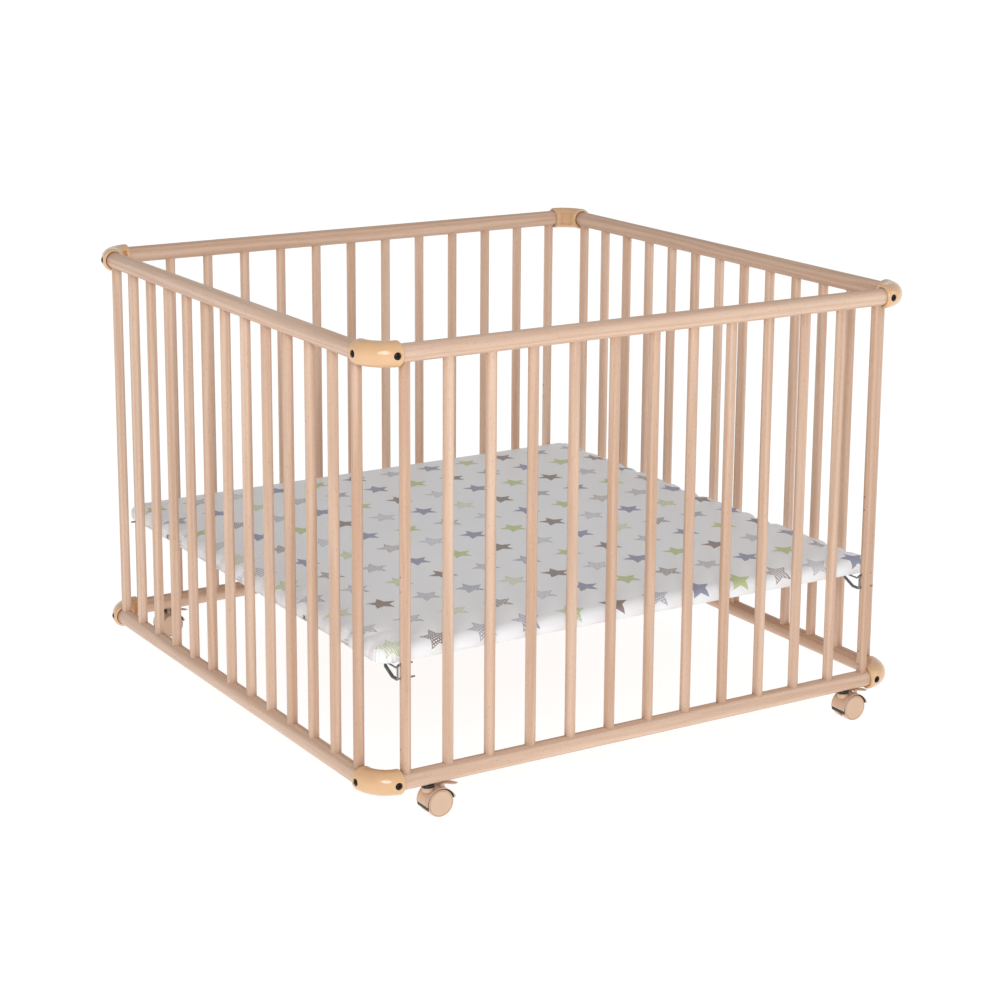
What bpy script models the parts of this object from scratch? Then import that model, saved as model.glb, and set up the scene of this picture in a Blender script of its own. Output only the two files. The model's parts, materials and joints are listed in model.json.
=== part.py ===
"""Square wooden playpen: four barred sides, plastic corner elbows, a padded base on wire brackets, and castors.

Metres, +Z up. The floor is z = 0 and the origin is below the middle of the playpen. +X runs along the
front side and +Y towards the back.
"""
import math

import bmesh
import bpy
from mathutils import Matrix, Vector

# Whole frame
SIDE = 1.000             # between the rail axes of two opposite sides
HALF = SIDE / 2
RAIL_RADIUS = 0.014
RAIL_SIDES = 12
LOW_RAIL_Z = 0.066       # axis of the bottom rails above the floor
TOP_RAIL_Z = 0.730       # axis of the top rails above the floor
RUNNING_GAP = 0.0003     # left between neighbouring solids

# Bars
BAR_COUNT = 13
BAR_RADIUS = 0.009
BAR_SIDES = 10
BAR_END_OFFSET = 0.052   # from a corner's axis to the nearest bar
BAR_TOP_Z = TOP_RAIL_Z - 0.004
BAR_PITCH = (SIDE - 2 * BAR_END_OFFSET) / (BAR_COUNT - 1)

# Corner elbows and their screws
ELBOW_REACH = 0.0425     # from a corner's axis to the elbow's end face, also the radius of its bend
ELBOW_RADIUS = 0.020
SOCKET_DEPTH = 0.020
RAIL_END = HALF - ELBOW_REACH + SOCKET_DEPTH
SCREW_OFFSET = 0.031     # from a corner's axis to the screw's axis
SCREW_HEAD_RADIUS = 0.0050
SCREW_RECESS_RADIUS = 0.0054
SCREW_SHANK_RADIUS = 0.0021
SCREW_HOLE_RADIUS = 0.0025
SCREW_SEAT = 0.0165      # from the rail's axis out to the floor of the recess
SCREW_HEAD_HEIGHT = 0.0018
SCREW_LENGTH = 0.026

# Wire brackets and the holes they plug into
WIRE_RADIUS = 0.0015
PRONG_HOLE_RADIUS = 0.0019
PRONG_SPACING = 0.023
HEIGHT_STEP = 0.1365
HEIGHT_COUNT = 3
FIRST_HOLE_Z = 0.0935
USED_HEIGHT = 1          # which of the heights the base is at
PRONG_Z = FIRST_HOLE_Z + USED_HEIGHT * HEIGHT_STEP
BRACKET_PLANE = 0.0115   # from the bar's axis to the plane of the wire triangle
BRACKET_REACH = 0.050    # how far the triangle goes in under the base

# Padded base
BASE_BOTTOM_Z = PRONG_Z + 0.0178
PAD_SIZE = 0.970
PAD_THICKNESS = 0.030
PAD_CORNER = 0.032
PAD_TOP_ROUND = 0.010
PAD_LOW_ROUND = 0.004
BOARD_SIZE = 0.962
BOARD_THICKNESS = 0.008
BOARD_CORNER = 0.028

# Castors
CASTOR_OFFSET = 0.091    # from a corner's axis to the swivel axis
TRAIL = 0.0145           # from the swivel axis to the axle
WHEEL_RADIUS = 0.0225
WHEEL_SIDES = 20
AXLE_Z = WHEEL_RADIUS * math.cos(math.pi / WHEEL_SIDES)
WHEEL_INNER_Y = 0.0047
WHEEL_OUTER_Y = 0.0168
AXLE_RADIUS = 0.0020
AXLE_HALF_LENGTH = 0.0158
WEB_HALF = 0.0042
HOOD_RADIUS = 0.0250
HOOD_BORE = 0.0232
HOOD_HALF_WIDTH = 0.0172
LEVER_X = 0.0085         # lever's hinge, from the axle
LEVER_Z = 0.0487
LEVER_TIP_X = 0.0405
LEVER_TIP_Z = 0.0425

SIDES = {"front": 0, "right": 1, "back": 2, "left": 3}
CORNERS = {"front_left": (-1, -1), "front_right": (1, -1), "back_right": (1, 1), "back_left": (-1, 1)}


def clear_scene():
    for old in list(bpy.data.objects):
        bpy.data.objects.remove(old, do_unlink=True)


def finish(name, colour, roughness, metallic=0.0):
    material = bpy.data.materials.new(name)
    material.use_nodes = True
    shader = material.node_tree.nodes["Principled BSDF"]
    shader.inputs["Base Color"].default_value = (*colour, 1.0)
    shader.inputs["Roughness"].default_value = roughness
    shader.inputs["Metallic"].default_value = metallic
    return material


def make_finishes():
    return {
        "beech": finish("beech", (0.72, 0.50, 0.33), 0.55),
        "elbow_plastic": finish("elbow_plastic", (0.80, 0.52, 0.24), 0.28),
        "castor_plastic": finish("castor_plastic", (0.70, 0.47, 0.31), 0.40),
        "black_plastic": finish("black_plastic", (0.02, 0.02, 0.02), 0.45),
        "dark_steel": finish("dark_steel", (0.08, 0.07, 0.065), 0.40, 1.0),
        "wire_steel": finish("wire_steel", (0.22, 0.23, 0.22), 0.35, 1.0),
        "pad_film": finish("pad_film", (0.82, 0.83, 0.85), 0.45),
        "fibreboard": finish("fibreboard", (0.36, 0.24, 0.15), 0.75),
    }


def prism(outline, low, high, axis="Z"):
    """A closed block: the outline's points are in the plane across the axis, taken in X, Y, Z order."""
    bm = bmesh.new()

    def place(a, b, c):
        return {"X": (c, a, b), "Y": (a, c, b), "Z": (a, b, c)}[axis]

    floor = [bm.verts.new(place(a, b, low)) for a, b in outline]
    roof = [bm.verts.new(place(a, b, high)) for a, b in outline]
    bm.faces.new(floor[::-1])
    bm.faces.new(roof)
    count = len(outline)
    for i in range(count):
        j = (i + 1) % count
        bm.faces.new((floor[i], floor[j], roof[j], roof[i]))
    bmesh.ops.recalc_face_normals(bm, faces=bm.faces)
    return bm


def circle(radius, sides, centre=(0.0, 0.0), turn=0.5):
    """Points round a circle. With turn at 0.5 the polygon has a flat side facing each way along the second axis."""
    points = []
    for i in range(sides):
        angle = 2 * math.pi * (i + turn) / sides - math.pi / 2
        points.append((centre[0] + radius * math.cos(angle), centre[1] + radius * math.sin(angle)))
    return points


def cylinder(radius, low, high, axis, centre, sides):
    """A closed cylinder; centre is given in the plane across the axis, taken in X, Y, Z order."""
    return prism(circle(radius, sides, centre), low, high, axis)


def rounded_square(size, radius, steps):
    points = []
    reach = size / 2 - radius
    for quarter, (sx, sy) in enumerate(((1, 1), (-1, 1), (-1, -1), (1, -1))):
        for i in range(steps + 1):
            angle = math.pi / 2 * (quarter + i / steps)
            points.append((sx * reach + radius * math.cos(angle), sy * reach + radius * math.sin(angle)))
    return points


def rounded_path(points, bend, steps):
    """The same path with each of its corners turned into an arc of the bend radius."""
    points = [Vector(p) for p in points]
    path = [points[0]]
    for before, corner, after in zip(points, points[1:], points[2:]):
        back = (before - corner).normalized()
        on = (after - corner).normalized()
        half = back.angle(on) / 2
        run = min(bend / math.tan(half), 0.45 * min((before - corner).length, (after - corner).length))
        radius = run * math.tan(half)
        middle = corner + (back + on).normalized() * (radius / math.sin(half))
        start = (corner + back * run - middle).normalized()
        end = (corner + on * run - middle).normalized()
        for i in range(steps + 1):
            path.append(middle + radius * start.slerp(end, i / steps))
    path.append(points[-1])
    return path


def tube(path, radius, sides):
    """A closed tube along a path, with its ring turned as little as possible from point to point."""
    bm = bmesh.new()
    rings = []
    across = None
    for i, point in enumerate(path):
        behind = path[max(i - 1, 0)]
        ahead = path[min(i + 1, len(path) - 1)]
        along = (ahead - behind).normalized()
        if across is None:
            across = along.orthogonal().normalized()
        across = (across - along * across.dot(along)).normalized()
        side = along.cross(across)
        ring = []
        for k in range(sides):
            angle = 2 * math.pi * k / sides
            ring.append(bm.verts.new(point + radius * (across * math.cos(angle) + side * math.sin(angle))))
        rings.append(ring)
    for one, two in zip(rings, rings[1:]):
        for k in range(sides):
            bm.faces.new((one[k], one[(k + 1) % sides], two[(k + 1) % sides], two[k]))
    bm.faces.new(rings[0][::-1])
    bm.faces.new(rings[-1])
    bmesh.ops.recalc_face_normals(bm, faces=bm.faces)
    return bm


def joined(*parts):
    """Separate bodies in one mesh, for use as a cutter or as pieces to unite with another body."""
    whole = bmesh.new()
    for part in parts:
        mesh = bpy.data.meshes.new("part")
        part.to_mesh(mesh)
        part.free()
        whole.from_mesh(mesh)
        bpy.data.meshes.remove(mesh)
    return whole


def combine(body, tool, operation):
    """One Boolean step on two meshes; the tool is used up."""
    pieces = []
    for bm in (body, tool):
        mesh = bpy.data.meshes.new("piece")
        bm.to_mesh(mesh)
        bm.free()
        piece = bpy.data.objects.new("piece", mesh)
        bpy.context.scene.collection.objects.link(piece)
        pieces.append(piece)
    step = pieces[0].modifiers.new("step", "BOOLEAN")
    step.operation = operation
    step.solver = "EXACT"
    step.object = pieces[1]
    evaluated = pieces[0].evaluated_get(bpy.context.evaluated_depsgraph_get())
    mesh = bpy.data.meshes.new_from_object(evaluated)
    result = bmesh.new()
    result.from_mesh(mesh)
    bpy.data.meshes.remove(mesh)
    for piece in pieces:
        old = piece.data
        bpy.data.objects.remove(piece, do_unlink=True)
        bpy.data.meshes.remove(old)
    return result


def united(body, *tools):
    return combine(body, joined(*tools), "UNION")


def cut(body, *tools):
    return combine(body, joined(*tools), "DIFFERENCE")


def turned(bm, quarter_turns):
    """The mesh turned about the playpen's middle, to make one side or corner from another."""
    bmesh.ops.triangulate(bm, faces=bm.faces)
    bm.transform(Matrix.Rotation(math.pi / 2 * quarter_turns, 4, "Z"))
    return bm


def place(name, bm, material, origin=(0.0, 0.0, 0.0), smooth=True):
    """Turns a mesh into a named object whose origin is at the point given."""
    bmesh.ops.triangulate(bm, faces=bm.faces)
    bmesh.ops.recalc_face_normals(bm, faces=bm.faces)
    bm.transform(Matrix.Translation(-Vector(origin)))
    mesh = bpy.data.meshes.new(name)
    bm.to_mesh(mesh)
    bm.free()
    mesh.materials.append(material)
    if smooth:
        mesh.shade_smooth()
        mesh.set_sharp_from_angle(angle=math.radians(40))
    obj = bpy.data.objects.new(name, mesh)
    obj.location = origin
    bpy.context.scene.collection.objects.link(obj)
    return obj


def bar_positions():
    return [-HALF + BAR_END_OFFSET + i * BAR_PITCH for i in range(BAR_COUNT)]


def screw_holes(rail_z):
    """Cutters for the two blind screw holes at the ends of a front rail."""
    holes = []
    for sign in (-1, 1):
        centre = (sign * (HALF - SCREW_OFFSET), rail_z)
        deep = -HALF - SCREW_SEAT + SCREW_LENGTH + 0.001
        holes.append(cylinder(SCREW_HOLE_RADIUS, -HALF - 0.03, deep, "Y", centre, 6))
    return holes


def front_rail(rail_z):
    return cylinder(RAIL_RADIUS, -RAIL_END, RAIL_END, "X", (-HALF, rail_z), RAIL_SIDES)


def top_rail():
    """A front top rail with a blind hole for each bar."""
    holes = []
    for x in bar_positions():
        radius = BAR_RADIUS + RUNNING_GAP
        holes.append(cylinder(radius, TOP_RAIL_Z - 0.03, BAR_TOP_Z + RUNNING_GAP, "Z", (x, -HALF), BAR_SIDES))
    return cut(front_rail(TOP_RAIL_Z), *holes, *screw_holes(TOP_RAIL_Z))


def lattice(has_castors):
    """A front bottom rail with its bars. A side with castors also holds the wire brackets."""
    bars = []
    for x in bar_positions():
        bars.append(cylinder(BAR_RADIUS, LOW_RAIL_Z, BAR_TOP_Z, "Z", (x, -HALF), BAR_SIDES))
    body = united(front_rail(LOW_RAIL_Z), *bars)
    holes = screw_holes(LOW_RAIL_Z)
    if has_castors:
        for sign in (-1, 1):
            stem = (sign * (HALF - CASTOR_OFFSET), -HALF)
            holes.append(cylinder(0.0046, LOW_RAIL_Z - 0.02, LOW_RAIL_Z + 0.006, "Z", stem, 10))
            bar = sign * (HALF - BAR_END_OFFSET)
            for level in range(HEIGHT_COUNT):
                for prong in (0, 1):
                    z = FIRST_HOLE_Z + level * HEIGHT_STEP + prong * PRONG_SPACING
                    reach = BAR_RADIUS + 0.004
                    holes.append(cylinder(PRONG_HOLE_RADIUS, bar - reach, bar + reach, "X", (-HALF, z), 6))
    return cut(body, *holes)


def elbow(z):
    """The front left corner: a quarter bend with a socket for each rail and a recess for each screw."""
    bend = []
    centre = Vector((-HALF + ELBOW_REACH, -HALF + ELBOW_REACH, z))
    steps = 5
    for i in range(steps + 1):
        angle = math.pi + math.pi / 2 * i / steps
        bend.append(centre + ELBOW_REACH * Vector((math.cos(angle), math.sin(angle), 0.0)))
    bm = bmesh.new()
    rings = []
    sides = 14
    for point in bend:
        outward = (point - centre).normalized()
        ring = []
        for k in range(sides):
            angle = 2 * math.pi * (k + 0.5) / sides
            lift = Vector((0.0, 0.0, math.sin(angle)))
            ring.append(bm.verts.new(point + ELBOW_RADIUS * (outward * math.cos(angle) + lift)))
        rings.append(ring)
    for one, two in zip(rings, rings[1:]):
        for k in range(sides):
            bm.faces.new((one[k], one[(k + 1) % sides], two[(k + 1) % sides], two[k]))
    bm.faces.new(rings[0][::-1])
    bm.faces.new(rings[-1])
    bmesh.ops.recalc_face_normals(bm, faces=bm.faces)
    end = -HALF + ELBOW_REACH
    bottom = -RAIL_END - RUNNING_GAP
    socket = RAIL_RADIUS + RUNNING_GAP
    tools = []
    for axis in ("X", "Y"):
        tools.append(cylinder(socket, bottom, end + 0.01, axis, (-HALF, z), RAIL_SIDES))
        across = "Y" if axis == "X" else "X"
        screw = (-HALF + SCREW_OFFSET, z)
        tools.append(cylinder(SCREW_HOLE_RADIUS, -HALF - 0.03, -HALF - 0.012, across, screw, 6))
    bm = cut(bm, tools[0], tools[2])
    bm = cut(bm, tools[1], tools[3])
    recesses = []
    for across in ("X", "Y"):
        screw = (-HALF + SCREW_OFFSET, z)
        low = -HALF - 0.03
        recesses.append(cylinder(SCREW_RECESS_RADIUS, low, -HALF - SCREW_SEAT, across, screw, 10))
    return cut(bm, *recesses)


def corner_screw(z):
    """A screw through the front left elbow into the front rail."""
    centre = (-HALF + SCREW_OFFSET, z)
    seat = -HALF - SCREW_SEAT - RUNNING_GAP
    head = cylinder(SCREW_HEAD_RADIUS, seat - SCREW_HEAD_HEIGHT, seat, "Y", centre, 8)
    shank = cylinder(SCREW_SHANK_RADIUS, seat - 0.001, seat + SCREW_LENGTH - 0.0005, "Y", centre, 6)
    return united(head, shank)


def bracket():
    """The front left wire bracket: a triangle beside the bar whose two ends turn and pass through it."""
    bar = Vector((-HALF + BAR_END_OFFSET, -HALF, PRONG_Z))
    run_z = BASE_BOTTOM_Z - PRONG_Z - RUNNING_GAP - WIRE_RADIUS
    plane = -BRACKET_PLANE
    beside = plane - 2.05 * WIRE_RADIUS
    main = [
        (0.0165, 0.0, 0.0),
        (plane, 0.0, 0.0),
        (plane, 0.016, 0.0),
        (plane, BRACKET_REACH, run_z),
        (plane, 0.007, run_z),
        (plane, 0.0, PRONG_SPACING),
        (0.0125, 0.0, PRONG_SPACING),
    ]
    second = [
        (plane, 0.042, 0.0128),
        (beside, 0.037, 0.0100),
        (beside, 0.015, -0.0006),
        (beside, -0.0025, -0.0006),
        (beside, -0.0025, 0.0200),
        (plane, -0.0004, PRONG_SPACING - 0.0010),
    ]
    wires = []
    for points in (main, second):
        path = rounded_path([bar + Vector(p) for p in points], 0.003, 2)
        wires.append(tube(path, WIRE_RADIUS, 6))
    return united(*wires)


def base_board():
    outline = rounded_square(BOARD_SIZE, BOARD_CORNER, 3)
    return prism(outline, BASE_BOTTOM_Z, BASE_BOTTOM_Z + BOARD_THICKNESS)


def floor_pad():
    """The padded cover: a slab with round edges that lies on the board and stands a little past it all round."""
    under = BASE_BOTTOM_Z + BOARD_THICKNESS + RUNNING_GAP
    top = BASE_BOTTOM_Z + PAD_THICKNESS
    levels = []
    for i in range(3):
        angle = math.pi / 2 * i / 2
        inset = PAD_LOW_ROUND * (1 - math.sin(angle))
        levels.append((inset, under + PAD_LOW_ROUND * (1 - math.cos(angle))))
    for i in range(5):
        angle = math.pi / 2 * i / 4
        inset = PAD_TOP_ROUND * (1 - math.cos(angle))
        levels.append((inset, top - PAD_TOP_ROUND * (1 - math.sin(angle))))
    bm = bmesh.new()
    rings = []
    for inset, height in levels:
        outline = rounded_square(PAD_SIZE - 2 * inset, PAD_CORNER - inset, 5)
        rings.append([bm.verts.new((x, y, height)) for x, y in outline])
    count = len(rings[0])
    for one, two in zip(rings, rings[1:]):
        for k in range(count):
            bm.faces.new((one[k], one[(k + 1) % count], two[(k + 1) % count], two[k]))
    bm.faces.new(rings[0][::-1])
    bm.faces.new(rings[-1])
    bmesh.ops.recalc_face_normals(bm, faces=bm.faces)
    return bm


def castor_collar():
    """The fixed black collar, with a pin up into the rail and a pin down into the housing."""
    rail_bottom = LOW_RAIL_Z - RAIL_RADIUS
    flange = cylinder(0.0105, 0.0476, rail_bottom - RUNNING_GAP, "Z", (0.0, 0.0), 12)
    upper = cylinder(0.0042, 0.0490, LOW_RAIL_Z + 0.0055, "Z", (0.0, 0.0), 10)
    lower = cylinder(0.0027, 0.0350, 0.0490, "Z", (0.0, 0.0), 8)
    return united(flange, upper, lower)


def castor_housing():
    """Hood, web, stem boss, lever lugs and axle in one moulding; the swivel axis is x = y = 0."""
    first = math.radians(12)
    last = math.radians(200)
    outline = []
    steps = 9
    for i in range(steps + 1):
        angle = first + (last - first) * i / steps
        outline.append((TRAIL + HOOD_RADIUS * math.cos(angle), AXLE_Z + HOOD_RADIUS * math.sin(angle)))
    hood = prism(outline, -HOOD_HALF_WIDTH, HOOD_HALF_WIDTH, "Y")
    web_outline = circle(0.0205, 12, (TRAIL, AXLE_Z))
    web_half = WEB_HALF - 0.0003
    web = prism(web_outline, -web_half, web_half, "Y")
    boss = cylinder(0.0080, 0.0400, 0.0472, "Z", (0.0, 0.0), 12)
    lugs = []
    for sign in (-1, 1):
        x = TRAIL + LEVER_X
        low, high = sorted((sign * 0.0057, sign * 0.0076))
        shape = [(x - 0.0025, 0.0440), (x + 0.0025, 0.0430), (x + 0.0020, 0.0503), (x - 0.0020, 0.0503)]
        lugs.append(prism(shape, low, high, "Y"))
    body = united(hood, web, boss, *lugs)
    chambers = []
    for sign in (-1, 1):
        low, high = sorted((sign * WEB_HALF, sign * 0.03))
        chambers.append(cylinder(HOOD_BORE, low, high, "Y", (TRAIL, AXLE_Z), 16))
    body = cut(body, *chambers)
    bore = cylinder(0.0031, 0.0345, 0.06, "Z", (0.0, 0.0), 8)
    hinge = cylinder(0.0014, -0.012, 0.012, "Y", (TRAIL + LEVER_X, LEVER_Z), 6)
    body = cut(body, bore, hinge)
    axle = cylinder(AXLE_RADIUS, -AXLE_HALF_LENGTH, AXLE_HALF_LENGTH, "Y", (TRAIL, AXLE_Z), 8)
    return united(body, axle)


def castor_wheel(sign):
    """One wheel of the pair, closed on its outer face; sign is -1 for the wheel towards -Y."""
    low, high = sorted((sign * WHEEL_INNER_Y, sign * WHEEL_OUTER_Y))
    body = cylinder(WHEEL_RADIUS, low, high, "Y", (TRAIL, AXLE_Z), WHEEL_SIDES)
    low, high = sorted((sign * 0.003, sign * (AXLE_HALF_LENGTH + RUNNING_GAP)))
    bore = cylinder(AXLE_RADIUS + 0.0004, low, high, "Y", (TRAIL, AXLE_Z), 8)
    return cut(body, bore)


def castor_lever():
    """The brake lever: a tapered tongue that slopes down from its hinge pin."""
    slope = (LEVER_TIP_Z - LEVER_Z) / (LEVER_TIP_X - LEVER_X)
    reach = LEVER_TIP_X - LEVER_X
    half_widths = [(0.0, 0.0050), (0.35, 0.0050), (0.55, 0.0068), (0.85, 0.0050), (1.0, 0.0022)]
    outline = [(share * reach, width) for share, width in half_widths]
    outline += [(x, -width) for x, width in reversed(outline)]
    tongue = prism(outline, -0.0011, 0.0011)
    for vert in tongue.verts:
        vert.co.z += vert.co.x * slope
        vert.co.x += TRAIL + LEVER_X
        vert.co.z += LEVER_Z
    bmesh.ops.recalc_face_normals(tongue, faces=tongue.faces)
    barrel = cylinder(0.0014, -0.0052, 0.0052, "Y", (TRAIL + LEVER_X, LEVER_Z), 8)
    pin = cylinder(0.0010, -0.0072, 0.0072, "Y", (TRAIL + LEVER_X, LEVER_Z), 6)
    return united(tongue, barrel, pin)


def moved(bm, x, y):
    bmesh.ops.triangulate(bm, faces=bm.faces)
    bm.transform(Matrix.Translation((x, y, 0.0)))
    return bm


def build_sides(finishes):
    for side, turns in SIDES.items():
        has_castors = side in ("front", "back")
        place(f"lattice_{side}", turned(lattice(has_castors), turns), finishes["beech"])
        place(f"top_rail_{side}", turned(top_rail(), turns), finishes["beech"])


def build_corners(finishes):
    for turns, corner in enumerate(CORNERS):
        for level, z in (("low", LOW_RAIL_Z), ("top", TOP_RAIL_Z)):
            place(f"elbow_{level}_{corner}", turned(elbow(z), turns), finishes["elbow_plastic"])
            along_x = turned(corner_screw(z), turns)
            place(f"screw_{level}_{corner}_a", along_x, finishes["dark_steel"])
            mirrored = corner_screw(z)
            mirrored.transform(Matrix(((0, 1, 0, 0), (1, 0, 0, 0), (0, 0, 1, 0), (0, 0, 0, 1))))
            bmesh.ops.reverse_faces(mirrored, faces=mirrored.faces)
            place(f"screw_{level}_{corner}_b", turned(mirrored, turns), finishes["dark_steel"])


def build_brackets(finishes):
    """The front pair points to the right and the back pair, turned half round, to the left."""
    bar_gap = SIDE - 2 * BAR_END_OFFSET
    for side, turns in (("front", 0), ("back", 2)):
        for end, shift in (("left", 0.0), ("right", bar_gap)):
            if turns:
                shift = bar_gap - shift
            wire = turned(moved(bracket(), shift, 0.0), turns)
            bar = bar_gap / 2 * (-1 if end == "left" else 1)
            origin = (bar, -HALF if side == "front" else HALF, PRONG_Z)
            place(f"bracket_{side}_{end}", wire, finishes["wire_steel"], origin)


def build_base(finishes):
    place("base_board", base_board(), finishes["fibreboard"], smooth=False)
    place("floor_pad", floor_pad(), finishes["pad_film"])


def build_castors(finishes):
    """All four castors stand the same way round, with their levers towards +X."""
    for corner, (sx, sy) in CORNERS.items():
        x = sx * (HALF - CASTOR_OFFSET)
        y = sy * HALF
        plastic = finishes["castor_plastic"]
        axle = (x + TRAIL, y, AXLE_Z)
        hinge = (x + TRAIL + LEVER_X, y, LEVER_Z)
        place(f"collar_{corner}", moved(castor_collar(), x, y), finishes["black_plastic"], (x, y, 0.0))
        place(f"castor_{corner}", moved(castor_housing(), x, y), plastic, (x, y, 0.0))
        place(f"wheel_{corner}_a", moved(castor_wheel(-1), x, y), plastic, axle)
        place(f"wheel_{corner}_b", moved(castor_wheel(1), x, y), plastic, axle)
        place(f"lever_{corner}", moved(castor_lever(), x, y), plastic, hinge)


def main():
    clear_scene()
    finishes = make_finishes()
    build_sides(finishes)
    build_corners(finishes)
    build_brackets(finishes)
    build_base(finishes)
    build_castors(finishes)


main()
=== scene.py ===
import json
import math

import bmesh
import bpy
import numpy as np
from mathutils import Matrix, Vector


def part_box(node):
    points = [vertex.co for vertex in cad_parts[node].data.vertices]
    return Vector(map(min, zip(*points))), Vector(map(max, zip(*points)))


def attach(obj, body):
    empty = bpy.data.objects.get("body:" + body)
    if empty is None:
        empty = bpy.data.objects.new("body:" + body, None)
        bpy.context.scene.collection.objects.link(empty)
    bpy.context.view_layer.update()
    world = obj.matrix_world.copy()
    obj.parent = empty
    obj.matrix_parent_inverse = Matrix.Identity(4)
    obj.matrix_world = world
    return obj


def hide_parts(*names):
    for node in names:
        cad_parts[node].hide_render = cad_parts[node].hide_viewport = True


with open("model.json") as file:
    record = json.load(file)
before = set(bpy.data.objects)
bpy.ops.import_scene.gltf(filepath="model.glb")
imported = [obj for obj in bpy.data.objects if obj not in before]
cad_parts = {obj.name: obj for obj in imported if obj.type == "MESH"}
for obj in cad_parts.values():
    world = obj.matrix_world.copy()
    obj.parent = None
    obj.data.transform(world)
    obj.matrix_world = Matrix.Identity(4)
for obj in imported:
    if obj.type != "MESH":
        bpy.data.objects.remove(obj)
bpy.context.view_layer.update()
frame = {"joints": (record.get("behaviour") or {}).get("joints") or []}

sides = ("front", "right", "back", "left")                  # each a quarter turn on from the one before
corners = ("front_left", "front_right", "back_right", "back_left")

railLow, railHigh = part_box("top_rail_front")
sideAt = -(railLow.y + railHigh.y) / 2                      # from the middle to the rails' axes
topRailZ = (railLow.z + railHigh.z) / 2
railHalfLength = railHigh.x
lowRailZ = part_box("lattice_front")[0].z + (railHigh.z - railLow.z) / 2


def fillNode(tree, node, inputs):
    # an input takes a link or a plain value
    for key, value in inputs.items():
        if isinstance(value, bpy.types.NodeSocket):
            tree.links.new(value, node.inputs[key])
        else:
            node.inputs[key].default_value = value
    return node


def addNode(tree, kind, inputs=None, **settings):
    node = tree.nodes.new(kind)
    for name, value in settings.items():
        setattr(node, name, value)
    return fillNode(tree, node, inputs or {})


def doMath(tree, operation, first, second=None, third=None):
    values = {i: v for i, v in enumerate((first, second, third)) if v is not None}
    return addNode(tree, "ShaderNodeMath", values, operation=operation).outputs[0]


def mapRange(tree, value, low, high, toLow=0.0, toHigh=1.0):
    return addNode(tree, "ShaderNodeMapRange", {0: value, 1: low, 2: high, 3: toLow, 4: toHigh}).outputs[0]


def combine(tree, x=0.0, y=0.0, z=0.0):
    return addNode(tree, "ShaderNodeCombineXYZ", {0: x, 1: y, 2: z}).outputs[0]


def mixColours(tree, share, first, second, blend="MIX"):
    node = addNode(tree, "ShaderNodeMix", {0: share, 6: first, 7: second}, data_type="RGBA", blend_type=blend)
    return node.outputs[2]


def openGroup(name, inputs, outputs, treeType="ShaderNodeTree"):
    group = bpy.data.node_groups.new(name, treeType)
    for label, kind, value in inputs:
        socket = group.interface.new_socket(name=label, in_out="INPUT", socket_type=kind)
        if value is not None:
            socket.default_value = value
    for label, kind in outputs:
        group.interface.new_socket(name=label, in_out="OUTPUT", socket_type=kind)
    return group, group.nodes.new("NodeGroupInput").outputs, group.nodes.new("NodeGroupOutput").inputs


def openMaterial(name):
    material = bpy.data.materials.new(name)
    material.use_nodes = True
    tree = material.node_tree
    shader = tree.nodes["Principled BSDF"]
    return material, tree, shader


def useGroup(tree, group, inputs):
    return addNode(tree, "ShaderNodeGroup", inputs, node_tree=group).outputs


def objectPlace(tree, turn=(0.0, 0.0, 0.0)):
    coordinates = tree.nodes.new("ShaderNodeTexCoord")
    return addNode(tree, "ShaderNodeMapping", {"Vector": coordinates.outputs["Object"], "Rotation": turn}).outputs[0]


def makeNoise(tree, place, scale, detail, **more):
    inputs = {"Vector": place, "Scale": scale, "Detail": detail}
    inputs.update({name.title(): value for name, value in more.items()})
    return addNode(tree, "ShaderNodeTexNoise", inputs).outputs[0]


def bumpFrom(tree, shader, height, strength, distance):
    bump = addNode(tree, "ShaderNodeBump", {"Height": height, "Strength": strength, "Distance": distance})
    tree.links.new(bump.outputs[0], shader.inputs["Normal"])


def srgb(red, green, blue):
    shares = [c / 255 for c in (red, green, blue)]
    return (*(c / 12.92 if c <= 0.04045 else ((c + 0.055) / 1.055) ** 2.4 for c in shares), 1.0)


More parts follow.
